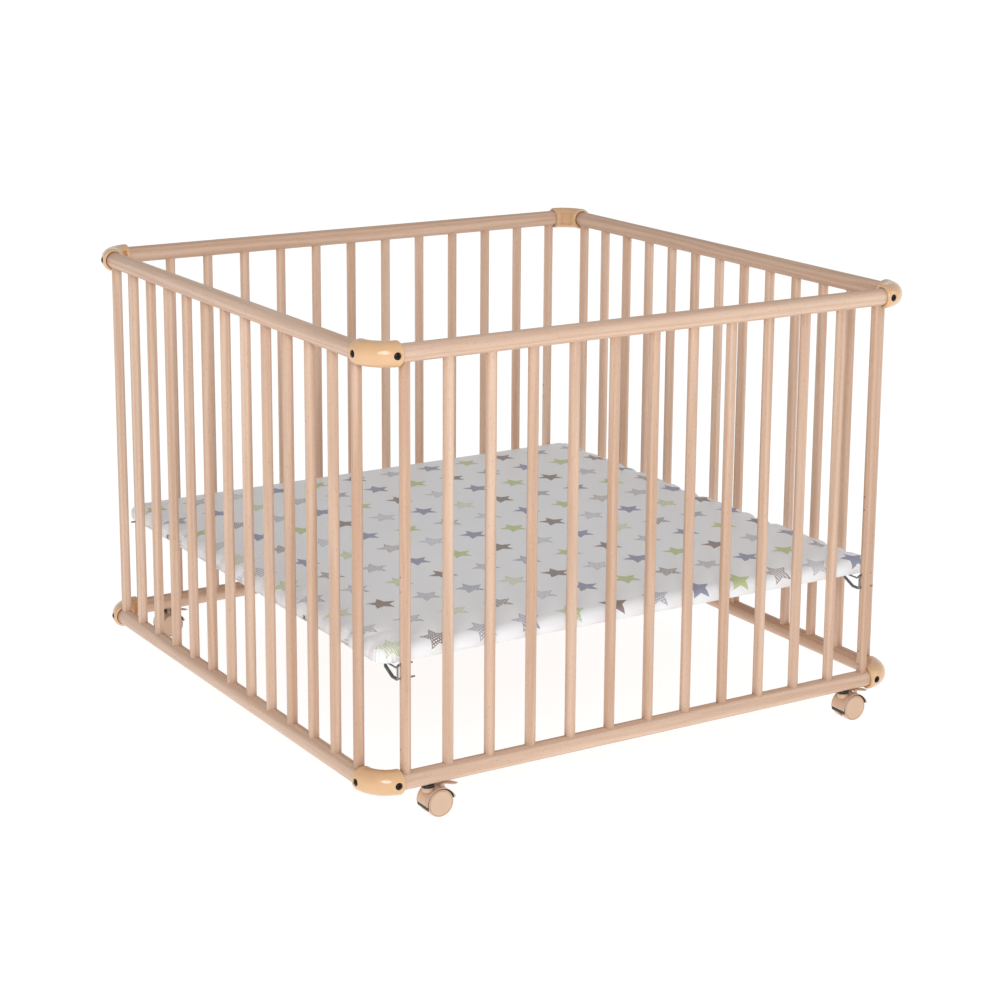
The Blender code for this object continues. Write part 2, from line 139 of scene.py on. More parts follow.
def makeBeechGrain():
    # grain runs along Z of Place
    group, put, out = openGroup(
        "beechGrain",
        [("Place", "NodeSocketVector", None), ("Pale", "NodeSocketColor", srgb(223, 194, 172)),
         ("Deep", "NodeSocketColor", srgb(196, 160, 135)), ("Fleck", "NodeSocketColor", srgb(142, 92, 66))],
        [("Color", "NodeSocketColor"), ("Roughness", "NodeSocketFloat"), ("Height", "NodeSocketFloat")])
    drawn = addNode(group, "ShaderNodeMapping", {"Vector": put["Place"], "Scale": (1.0, 1.0, 0.035)}).outputs[0]
    broad = makeNoise(group, drawn, 21.0, 2.0, roughness=0.5)
    fine = makeNoise(group, drawn, 420.0, 4.0, roughness=0.65, distortion=0.3)
    rings = addNode(group, "ShaderNodeTexWave",
                    {"Vector": drawn, "Scale": 34.0, "Distortion": 7.0, "Detail": 2.0, "Detail Scale": 1.4},
                    wave_type="RINGS", rings_direction="Z").outputs["Fac"]
    ringShare = doMath(group, "MULTIPLY", rings, 0.30)
    tone = doMath(group, "ADD", doMath(group, "MULTIPLY", broad, 1.1), ringShare)
    tone = doMath(group, "ADD", tone, doMath(group, "MULTIPLY", fine, 0.55))
    share = mapRange(group, tone, 0.62, 1.28)
    wood = mixColours(group, share, put["Pale"], put["Deep"])
    flecked = addNode(group, "ShaderNodeMapping", {"Vector": put["Place"], "Scale": (1.0, 1.0, 0.22)}).outputs[0]
    near = addNode(group, "ShaderNodeTexVoronoi", {"Vector": flecked, "Scale": 460.0, "Randomness": 1.0}).outputs[0]
    wide = addNode(group, "ShaderNodeTexVoronoi", {"Vector": flecked, "Scale": 240.0, "Randomness": 1.0}).outputs[0]
    small = mapRange(group, near, 0.10, 0.22, 1.0, 0.0)
    large = mapRange(group, wide, 0.07, 0.15, 1.0, 0.0)
    flecks = doMath(group, "MAXIMUM", small, large)
    flecks = doMath(group, "MULTIPLY", flecks, 0.34)
    group.links.new(mixColours(group, flecks, wood, put["Fleck"]), out["Color"])
    group.links.new(doMath(group, "ADD", doMath(group, "MULTIPLY", fine, 0.22), 0.36), out["Roughness"])
    height = doMath(group, "SUBTRACT", doMath(group, "MULTIPLY", fine, 0.6), flecks)
    group.links.new(height, out["Height"])
    return group


def makeMouldedSkin():
    # the faint orange peel and cloudiness of moulded plastic
    group, put, out = openGroup(
        "mouldedSkin",
        [("Place", "NodeSocketVector", None), ("Body", "NodeSocketColor", (0.8, 0.8, 0.8, 1.0)),
         ("Cloud", "NodeSocketColor", (0.7, 0.7, 0.7, 1.0)), ("Polish", "NodeSocketFloat", 0.3)],
        [("Color", "NodeSocketColor"), ("Roughness", "NodeSocketFloat"), ("Height", "NodeSocketFloat")])
    clouds = makeNoise(group, put["Place"], 46.0, 3.0)
    peel = makeNoise(group, put["Place"], 900.0, 2.0)
    scuffs = makeNoise(group, put["Place"], 210.0, 5.0, distortion=1.2)
    share = mapRange(group, clouds, 0.35, 0.7)
    group.links.new(mixColours(group, share, put["Body"], put["Cloud"]), out["Color"])
    worn = doMath(group, "MULTIPLY", doMath(group, "SUBTRACT", scuffs, 0.5), 0.16)
    group.links.new(doMath(group, "ADD", put["Polish"], worn), out["Roughness"])
    group.links.new(peel, out["Height"])
    return group


starPrint = {
    "pitchX": 0.0825,          # between the stars along X
    "pitchY": 0.0879,
    "startX": -0.0453,
    "startY": -0.0313,
    "tipRadius": 0.0270,
    "valleyShare": 0.47,       # valley radius over tip radius
    "outline": 0.0011,
    "hatchPitch": 0.0052,
    "hatchSlant": 0.35,
    "hatchFrom": (0.58, 0.10, 0.86, 0.50),     # a star is hatched when its chance is above that of its ink
    "twist": 0.42,             # range of the stars' turning, in radians
    "seed": 5.3,
    "brown": srgb(138, 122, 117),
    "pale": srgb(176, 178, 190),
    "blue": srgb(145, 150, 176),
    "green": srgb(194, 207, 146),
}


def makeStarPrint():
    v = starPrint
    group, put, out = openGroup(
        "starPrint", [("Place", "NodeSocketVector", None), ("Ground", "NodeSocketColor", (0.9, 0.9, 0.9, 1.0))],
        [("Color", "NodeSocketColor"), ("Ink", "NodeSocketFloat")])

    def calc(operation, *values):
        return doMath(group, operation, *values)

    place = addNode(group, "ShaderNodeSeparateXYZ", {0: put["Place"]}).outputs
    cells, offsets = [], []
    for axis, start, pitch in ((0, v["startX"], v["pitchX"]), (1, v["startY"], v["pitchY"])):
        steps = calc("DIVIDE", calc("SUBTRACT", place[axis], start), pitch)
        cell = calc("ROUND", steps)
        cells.append(cell)
        offsets.append(calc("MULTIPLY", calc("SUBTRACT", steps, cell), pitch))
    cellPlace = combine(group, cells[0], cells[1], v["seed"])
    chance = addNode(group, "ShaderNodeTexWhiteNoise", {0: cellPlace}, noise_dimensions="3D").outputs[1]
    chance = addNode(group, "ShaderNodeSeparateColor", {0: chance}).outputs
    turn = calc("MULTIPLY", calc("SUBTRACT", chance[0], 0.5), v["twist"])
    cosine, sine = calc("COSINE", turn), calc("SINE", turn)
    x, y = offsets
    x, y = (calc("ADD", calc("MULTIPLY", x, cosine), calc("MULTIPLY", y, sine)),
            calc("SUBTRACT", calc("MULTIPLY", y, cosine), calc("MULTIPLY", x, sine)))
    flat = combine(group, x, y)
    radius = addNode(group, "ShaderNodeVectorMath", {0: flat}, operation="LENGTH").outputs["Value"]
    fold = calc("PINGPONG", calc("ARCTAN2", x, y), math.pi / 5)
    across = calc("MULTIPLY", radius, calc("SINE", fold))
    along = calc("MULTIPLY", radius, calc("COSINE", fold))
    tip, valley = v["tipRadius"], v["tipRadius"] * v["valleyShare"]
    dx, dy = valley * math.sin(math.pi / 5), valley * math.cos(math.pi / 5) - tip
    size = math.hypot(dx, dy)
    past = calc("ADD", calc("MULTIPLY", across, -dy / size),
                calc("MULTIPLY", calc("SUBTRACT", along, tip), dx / size))
    inside = mapRange(group, past, -0.0004, 0.0002, 1.0, 0.0)
    core = mapRange(group, past, -v["outline"] - 0.0004, -v["outline"] + 0.0002, 1.0, 0.0)
    kind = calc("ADD", cells[0], calc("MULTIPLY", cells[1], 2.0))
    kind = calc("FLOORED_MODULO", calc("ADD", kind, 2.0), 4.0)
    pick = calc("DIVIDE", calc("ADD", kind, 0.5), 4.0)
    inks = addNode(group, "ShaderNodeValToRGB", {0: pick})
    ramp = inks.color_ramp
    ramp.interpolation = "CONSTANT"
    for i, ink in enumerate(("brown", "pale", "blue", "green")):
        stop = ramp.elements[i] if i < 2 else ramp.elements.new(i / 4)
        stop.position = i / 4
        stop.color = v[ink]
    limits = addNode(group, "ShaderNodeValToRGB", {0: pick})
    limits.color_ramp.interpolation = "CONSTANT"
    for i, limit in enumerate(v["hatchFrom"]):
        stop = limits.color_ramp.elements[i] if i < 2 else limits.color_ramp.elements.new(i / 4)
        stop.position = i / 4
        stop.color = (limit, limit, limit, 1.0)
    leaning = calc("MULTIPLY", cells[1], -0.05)         # more of them hatched towards the front left
    leaning = calc("ADD", leaning, calc("MULTIPLY", cells[0], -0.03))
    hatched = calc("GREATER_THAN", calc("ADD", chance[2], leaning), limits.outputs[0])
    waves = 2 * math.pi / v["hatchPitch"]
    stripes = calc("SINE", calc("MULTIPLY", calc("ADD", x, calc("MULTIPLY", y, v["hatchSlant"])), waves))
    crossing = calc("SINE", calc("MULTIPLY", calc("SUBTRACT", y, calc("MULTIPLY", x, v["hatchSlant"])), waves))
    crossed = calc("GREATER_THAN", chance[1], 0.5)
    crossing = calc("SUBTRACT", calc("MULTIPLY", crossing, crossed), calc("SUBTRACT", 1.0, crossed))
    lines = calc("MAXIMUM", stripes, crossing)
    lines = mapRange(group, lines, 0.15, 0.45)
    bare = calc("MULTIPLY", hatched, calc("MULTIPLY", core, calc("SUBTRACT", 1.0, lines)))
    ink = calc("MULTIPLY", inside, calc("SUBTRACT", 1.0, calc("MULTIPLY", bare, 0.9)))
    printed = mixColours(group, calc("MULTIPLY", ink, 0.93), put["Ground"], inks.outputs[0])
    group.links.new(printed, out["Color"])
    group.links.new(ink, out["Ink"])
    return group


beechGrain = makeBeechGrain()
mouldedSkin = makeMouldedSkin()
starGroup = makeStarPrint()


def makeBeech(name, turn):
    material, tree, shader = openMaterial(name)
    grain = useGroup(tree, beechGrain, {"Place": objectPlace(tree, turn)})
    fillNode(tree, shader, {"Base Color": grain["Color"], "Roughness": grain["Roughness"],
                            "Specular IOR Level": 0.42})
    bumpFrom(tree, shader, grain["Height"], 0.35, 0.0002)
    return material


def makePlastic(name, body, cloud, polish, coat=0.0, glow=0.0, bump=0.12):
    material, tree, shader = openMaterial(name)
    skin = useGroup(tree, mouldedSkin, {"Place": objectPlace(tree), "Body": body, "Cloud": cloud, "Polish": polish})
    fillNode(tree, shader, {"Base Color": skin["Color"], "Roughness": skin["Roughness"], "Coat Weight": coat,
                            "Coat Roughness": 0.12, "Subsurface Weight": glow, "Subsurface Scale": 0.003,
                            "Subsurface Radius": (1.0, 0.6, 0.3)})
    bumpFrom(tree, shader, skin["Height"], bump, 0.0002)
    return material


def makeWireSteel():
    material, tree, shader = openMaterial("wireSteel")
    place = objectPlace(tree)
    drawn = makeNoise(tree, place, 600.0, 4.0)
    patches = makeNoise(tree, place, 90.0, 2.0)
    fillNode(tree, shader, {"Base Color": mixColours(tree, patches, srgb(96, 102, 100), srgb(150, 156, 154)),
                            "Metallic": 0.9,
                            "Roughness": doMath(tree, "ADD", doMath(tree, "MULTIPLY", drawn, 0.3), 0.2)})
    bumpFrom(tree, shader, drawn, 0.2, 0.0001)
    return material


def makeScrewBlack():
    material, tree, shader = openMaterial("screwBlack")
    worn = makeNoise(tree, objectPlace(tree), 500.0, 3.0)
    fillNode(tree, shader, {"Base Color": mixColours(tree, worn, srgb(6, 5, 5), srgb(20, 16, 15)),
                            "Roughness": doMath(tree, "ADD", doMath(tree, "MULTIPLY", worn, 0.3), 0.22),
                            "Metallic": 0.2, "Specular IOR Level": 0.3})
    bumpFrom(tree, shader, worn, 0.15, 0.0001)
    return material


def makePadFilm():
    material, tree, shader = openMaterial("padFilm")
    place = objectPlace(tree)
    printed = tree.nodes.new("ShaderNodeAttribute")
    printed.attribute_name = "printPlace"
    cloudy = makeNoise(tree, place, 9.0, 3.0)
    ground = mixColours(tree, cloudy, srgb(240, 244, 248), srgb(246, 249, 252))
    stars = useGroup(tree, starGroup, {"Place": printed.outputs["Vector"], "Ground": ground})
    crinkle = makeNoise(tree, place, 75.0, 4.0, distortion=0.6)
    emboss = addNode(tree, "ShaderNodeTexVoronoi", {"Vector": place, "Scale": 900.0}).outputs[0]
    height = doMath(tree, "ADD", doMath(tree, "MULTIPLY", crinkle, 1.0), doMath(tree, "MULTIPLY", emboss, 0.12))
    fillNode(tree, shader, {"Base Color": stars["Color"], "Sheen Weight": 0.05, "Specular IOR Level": 0.45,
                            "Roughness": doMath(tree, "ADD", doMath(tree, "MULTIPLY", crinkle, 0.14), 0.36)})
    bumpFrom(tree, shader, height, 0.35, 0.0005)
    return material


def makeHardboard():
    material, tree, shader = openMaterial("hardboard")
    place = objectPlace(tree)
    fibres = makeNoise(tree, place, 300.0, 6.0, distortion=1.5)
    blotches = makeNoise(tree, place, 12.0, 2.0)
    tone = doMath(tree, "ADD", doMath(tree, "MULTIPLY", fibres, 0.6), doMath(tree, "MULTIPLY", blotches, 0.4))
    fillNode(tree, shader, {"Base Color": mixColours(tree, tone, srgb(120, 88, 62), srgb(168, 130, 96)),
                            "Roughness": 0.78})
    flat = addNode(tree, "ShaderNodeSeparateXYZ", {0: place}).outputs
    weave = doMath(tree, "MULTIPLY", doMath(tree, "SINE", doMath(tree, "MULTIPLY", flat[0], 2600.0)),
                   doMath(tree, "SINE", doMath(tree, "MULTIPLY", flat[1], 2600.0)))
    bumpFrom(tree, shader, doMath(tree, "ADD", weave, fibres), 0.3, 0.0002)
    return material


beechAlongX = makeBeech("beechAlongX", (0.0, math.pi / 2, 0.0))
beechAlongY = makeBeech("beechAlongY", (math.pi / 2, 0.0, 0.0))
beechUpright = makeBeech("beechUpright", (0.0, 0.0, 0.0))
elbowPlastic = makePlastic("elbowPlastic", srgb(222, 180, 137), srgb(219, 176, 132), 0.24,
                           coat=0.5, glow=0.05, bump=0.02)
castorPlastic = makePlastic("castorPlastic", srgb(211, 178, 152), srgb(208, 174, 147), 0.34, coat=0.15, bump=0.05)
# black plastic of the stem collars and the castor webs, and the black sheets of painted shade inside the hoods
blackPlasticAndPaintedShade = makePlastic("blackPlasticAndPaintedShade", srgb(28, 25, 24), srgb(38, 34, 33), 0.5)
screwBlack = makeScrewBlack()
wireSteel = makeWireSteel()
padFilm = makePadFilm()
hardboard = makeHardboard()
print("finishes made")


def asObject(name, mesh):
    made = bpy.data.objects.new(name, mesh)
    bpy.context.scene.collection.objects.link(made)
    return made


def evaluated(carrier, name):
    bpy.context.view_layer.update()
    mesh = bpy.data.meshes.new_from_object(carrier.evaluated_get(bpy.context.evaluated_depsgraph_get()))
    mesh.name = name
    bpy.data.objects.remove(carrier, do_unlink=True)
    return mesh


def runTree(name, tree, values, base=None):
    # a plain mesh from a Geometry Nodes tree; base is the mesh it starts from
    carrier = asObject(name + "Carrier", base or bpy.data.meshes.new(name + "Base"))
    modifier = carrier.modifiers.new("shape", "NODES")
    modifier.node_group = tree
    for item in tree.interface.items_tree:
        if item.item_type == "SOCKET" and item.in_out == "INPUT" and item.name in values:
            modifier[item.identifier] = values[item.name]
    return evaluated(carrier, name)


def meshFrom(name, points, faces):
    mesh = bpy.data.meshes.new(name)
    mesh.from_pydata([tuple(p) for p in points], [], faces)
    mesh.update()
    return mesh


def shadeByAngle(mesh, degrees=32.0):
    bm = bmesh.new()
    bm.from_mesh(mesh)
    limit = math.radians(degrees)
    for face in bm.faces:
        face.smooth = True
    for edge in bm.edges:
        edge.smooth = len(edge.link_faces) != 2 or edge.calc_face_angle(0.0) < limit
    bm.to_mesh(mesh)
    bm.free()
    return mesh


def turnedOutwards(bm):
    bmesh.ops.remove_doubles(bm, verts=bm.verts, dist=1e-6)
    bmesh.ops.recalc_face_normals(bm, faces=bm.faces)
    return bm


def latheInto(bm, profile, centre, axis, steps):
    # turns (radius, distance along the axis) points round a line through centre; both ends close on the axis
    along = Vector(axis).normalized()
    first = along.orthogonal().normalized()
    second = along.cross(first)
    rings = []
    for radius, distance in profile:
        middle = Vector(centre) + along * distance
        if radius < 1e-6:
            rings.append([bm.verts.new(middle)])
            continue
        rings.append([bm.verts.new(middle + (first * math.cos(a) + second * math.sin(a)) * radius)
                      for a in (2 * math.pi * k / steps for k in range(steps))])
    for one, two in zip(rings, rings[1:]):
        for k in range(steps):
            n = (k + 1) % steps
            if len(one) == 1 and len(two) > 1:
                bm.faces.new((one[0], two[k], two[n]))
            elif len(two) == 1 and len(one) > 1:
                bm.faces.new((one[k], two[0], one[n]))
            elif len(one) > 1:
                bm.faces.new((one[k], one[n], two[n], two[k]))
    for ring, turnedOver in ((rings[0], True), (rings[-1], False)):
        if len(ring) > 1:
            bm.faces.new(ring[::-1] if turnedOver else ring)


def prismInto(bm, outline, low, high, axis="Z"):
    # outline is (x, y) for axis Z and (x, z) for axis Y
    def at(u, v, w):
        return (u, v, w) if axis == "Z" else (u, w, v)
    bottom = [bm.verts.new(at(u, v, low)) for u, v in outline]
    top = [bm.verts.new(at(u, v, high)) for u, v in outline]
    count = len(outline)
    bm.faces.new(bottom[::-1])
    bm.faces.new(top)
    for k in range(count):
        bm.faces.new((bottom[k], bottom[(k + 1) % count], top[(k + 1) % count], top[k]))


def meshOf(bm, name):
    turnedOutwards(bm)
    mesh = bpy.data.meshes.new(name)
    bm.to_mesh(mesh)
    bm.free()
    return mesh


def cutMesh(mesh, cutter, name):
    body, tool = asObject(name + "Body", mesh), asObject(name + "Tool", cutter)
    cut = body.modifiers.new("cut", "BOOLEAN")
    cut.operation = "DIFFERENCE"
    cut.solver = "EXACT"
    cut.object = tool
    result = evaluated(body, name)
    bpy.data.objects.remove(tool, do_unlink=True)
    return result


def bevelled(mesh, name, width, segments=2, degrees=40.0):
    body = asObject(name + "Body", mesh)
    bevel = body.modifiers.new("edge", "BEVEL")
    bevel.width = width
    bevel.segments = segments
    bevel.limit_method = "ANGLE"
    bevel.angle_limit = math.radians(degrees)
    return evaluated(body, name)


def placed(mesh, name, matrix):
    copy = mesh.copy()
    copy.name = name
    copy.transform(matrix)
    return copy


def finishPiece(name, mesh, material, body, nodes):
    piece = asObject(name, mesh)
    if material is not None:
        mesh.materials.clear()
        mesh.materials.append(material)
    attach(piece, body)
    if nodes:
        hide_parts(*nodes)
    return piece


dowelSide = {
    "Rail Half Length": railHalfLength,
    "Rail Radius": 0.0144,
    "Side Distance": sideAt,
    "Low Rail Height": lowRailZ,
    "Top Rail Height": topRailZ,
    "Bar Count": 13,
    "First Bar": -0.448,       # X of the first bar's axis
    "Bar Pitch": 0.896 / 12,
    "Bar Radius": 0.0086,
    "Hole Radius": 0.0019,     # for the wire brackets, in the two end bars
    "First Hole": 0.0935,      # height of the lowest hole
    "Hole Spacing": 0.023,
    "Height Step": 0.1365,
}


def joinGeometry(tree, *parts):
    joined = tree.nodes.new("GeometryNodeJoinGeometry")
    for part in parts:
        tree.links.new(part, joined.inputs[0])
    return joined.outputs[0]


def closeTree(tree, geometry, put, out):
    # the common end of a tree: real meshes in their finish
    real = addNode(tree, "GeometryNodeRealizeInstances", {"Geometry": geometry})
    done = addNode(tree, "GeometryNodeSetMaterial", {"Geometry": real.outputs[0], "Material": put["Finish"]})
    tree.links.new(done.outputs[0], out["Geometry"])
    return tree


def makeSideTree():
    names = [(k, "NodeSocketInt" if k == "Bar Count" else "NodeSocketFloat", dowelSide[k]) for k in dowelSide]
    names += [("Turn", "NodeSocketFloat", 0.0), ("Has Holes", "NodeSocketBool", False),
              ("Rail Finish", "NodeSocketMaterial", None), ("Bar Finish", "NodeSocketMaterial", None),
              ("Seed", "NodeSocketInt", 3)]
    tree, put, out = openGroup("barredSide", names, [("Geometry", "NodeSocketGeometry")], "GeometryNodeTree")
    out = out["Geometry"]

    def calc(operation, *values):
        return doMath(tree, operation, *values)

    def vector(x, y, z):
        return combine(tree, x, y, z)

    backwards = calc("MULTIPLY", put["Side Distance"], -1.0)
    # the two rails
    rail = addNode(tree, "GeometryNodeMeshCylinder",
                   {"Vertices": 40, "Side Segments": 24, "Radius": put["Rail Radius"],
                    "Depth": calc("MULTIPLY", put["Rail Half Length"], 2.0)})
    railSmooth = addNode(tree, "GeometryNodeSetShadeSmooth",
                         {"Geometry": rail.outputs["Mesh"], "Selection": rail.outputs["Side"], "Shade Smooth": True})
    isCap = addNode(tree, "FunctionNodeBooleanMath", {0: rail.outputs["Side"]}, operation="NOT").outputs[0]
    caps = addNode(tree, "GeometryNodeSetShadeSmooth",
                   {"Geometry": railSmooth.outputs[0], "Shade Smooth": False, "Selection": isCap})
    rails = []
    for height in ("Low Rail Height", "Top Rail Height"):
        rails.append(addNode(tree, "GeometryNodeTransform",
                             {"Geometry": caps.outputs[0], "Translation": vector(0.0, backwards, put[height]),
                              "Rotation": (0.0, math.pi / 2, 0.0)}).outputs[0])
    railDone = tree.nodes.new("GeometryNodeCaptureAttribute")
    railDone.capture_items.new("BOOLEAN", "Is Rail")
    railDone.domain = "FACE"
    fillNode(tree, railDone, {"Geometry": joinGeometry(tree, *rails), "Is Rail": True})
    # the row of bars, from axis to axis of the rails
    height = calc("SUBTRACT", put["Top Rail Height"], put["Low Rail Height"])
    middle = calc("ADD", put["Low Rail Height"], calc("MULTIPLY", height, 0.5))
    row = addNode(tree, "GeometryNodeMeshLine",
                  {"Count": put["Bar Count"], "Start Location": vector(put["First Bar"], backwards, middle),
                   "Offset": vector(put["Bar Pitch"], 0.0, 0.0)})
    bar = addNode(tree, "GeometryNodeMeshCylinder",
                  {"Vertices": 28, "Side Segments": 16, "Radius": put["Bar Radius"], "Depth": height})
    turnBar = addNode(tree, "FunctionNodeRandomValue",
                      {"Min": (0.0, 0.0, 0.0), "Max": (0.0, 0.0, 6.28), "Seed": put["Seed"]},
                      data_type="FLOAT_VECTOR")
    bars = addNode(tree, "GeometryNodeInstanceOnPoints",
                   {"Points": row.outputs[0], "Instance": bar.outputs["Mesh"], "Rotation": turnBar.outputs[0]})
    realBars = addNode(tree, "GeometryNodeRealizeInstances", {"Geometry": bars.outputs[0]})
    barSmooth = addNode(tree, "GeometryNodeSetShadeSmooth", {"Geometry": realBars.outputs[0], "Shade Smooth": True})
    # holes through the end bars: two ends, three heights, two prongs
    drill = addNode(tree, "GeometryNodeMeshCylinder", {"Vertices": 14, "Radius": put["Hole Radius"], "Depth": 0.03})
    drillX = addNode(tree, "GeometryNodeTransform",
                     {"Geometry": drill.outputs["Mesh"], "Rotation": (0.0, math.pi / 2, 0.0)})
    levels = addNode(tree, "GeometryNodeMeshLine",
                     {"Count": 3, "Start Location": vector(put["First Bar"], backwards, put["First Hole"]),
                      "Offset": vector(0.0, 0.0, put["Height Step"])})
    upper = addNode(tree, "GeometryNodeTransform",
                    {"Geometry": levels.outputs[0], "Translation": vector(0.0, 0.0, put["Hole Spacing"])})
    pairs = joinGeometry(tree, levels.outputs[0], upper.outputs[0])
    across = vector(calc("MULTIPLY", put["First Bar"], -2.0), 0.0, 0.0)
    farEnd = addNode(tree, "GeometryNodeTransform", {"Geometry": pairs, "Translation": across})
    drills = addNode(tree, "GeometryNodeInstanceOnPoints",
                     {"Points": joinGeometry(tree, pairs, farEnd.outputs[0]), "Instance": drillX.outputs[0]})
    drilled = addNode(tree, "GeometryNodeMeshBoolean", {"Mesh 1": barSmooth.outputs[0]},
                      operation="DIFFERENCE", solver="EXACT")
    realDrills = addNode(tree, "GeometryNodeRealizeInstances", {"Geometry": drills.outputs[0]})
    tree.links.new(realDrills.outputs[0], drilled.inputs["Mesh 2"])
    crisp = addNode(tree, "GeometryNodeSetShadeSmooth",
                    {"Geometry": drilled.outputs["Mesh"], "Selection": drilled.outputs["Intersecting Edges"],
                     "Shade Smooth": False}, domain="EDGE")
    choice = addNode(tree, "GeometryNodeSwitch",
                     {"Switch": put["Has Holes"], "False": barSmooth.outputs[0], "True": crisp.outputs[0]},
                     input_type="GEOMETRY")
    turned = addNode(tree, "GeometryNodeTransform",
                     {"Geometry": joinGeometry(tree, railDone.outputs[0], choice.outputs[0]),
                      "Rotation": vector(0.0, 0.0, put["Turn"])})
    real = addNode(tree, "GeometryNodeRealizeInstances", {"Geometry": turned.outputs[0]})
    barDone = addNode(tree, "GeometryNodeSetMaterial", {"Geometry": real.outputs[0], "Material": put["Bar Finish"]})
    done = addNode(tree, "GeometryNodeSetMaterial",
                   {"Geometry": barDone.outputs[0], "Selection": railDone.outputs["Is Rail"],
                    "Material": put["Rail Finish"]})
    tree.links.new(done.outputs[0], out)
    return tree


sideTree = makeSideTree()
for index, side in enumerate(sides):
    values = dict(dowelSide)
    values["Turn"] = index * math.pi / 2
    values["Has Holes"] = index % 2 == 0
    values["Rail Finish"] = beechAlongY if index % 2 else beechAlongX
    values["Bar Finish"] = beechUpright
    values["Seed"] = 3 + index
    sideMesh = runTree("dowels_" + side, sideTree, values)
    finishPiece("dowels_" + side, sideMesh, None, "frame", ["lattice_" + side, "top_rail_" + side])
print("rails and bars made")


elbowShape = {
    "bendRadius": 0.0425,      # of the tube's axis, round a centre inside the corner
    "tubeRadius": 0.0198,
    "collarRadius": 0.0200,    # at the mouths
    "mouthRadius": 0.0164,
    "mouthRound": 0.0036,      # how far along the rounding of a mouth runs
    "collarLength": 0.012,
    "socketRadius": 0.0146,
    "flareRadius": 0.0159,     # of the socket at its mouth
    "socketDepth": 0.0203,
    "panelRadius": 0.0298,     # of the sunk wall on the inner side, from the centre of the bend
    "panelHalfHeight": 0.0112,
    "panelFrom": 19.0,         # degrees from the mouth
    "screwOffset": 0.031,      # from the corner's axis to the screw's axis
    "screwSeat": 0.0165,       # from the rail's axis to the floor of the recess
    "recessRadius": 0.0060,
    "headRadius": 0.0056,
    "headHeight": 0.0026,
}


def elbowRadius(distance):
    # tube radius at a distance along the bend from the nearer mouth
    v = elbowShape
    if distance < v["mouthRound"]:
        share = distance / v["mouthRound"]
        return v["mouthRadius"] + (v["collarRadius"] - v["mouthRadius"]) * math.sqrt(max(0.0, 1 - (1 - share) ** 2))
    fade = min(1.0, max(0.0, (distance - v["mouthRound"]) / (v["collarLength"] - v["mouthRound"])))
    fade = fade * fade * (3 - 2 * fade)
    return v["collarRadius"] + (v["tubeRadius"] - v["collarRadius"]) * fade


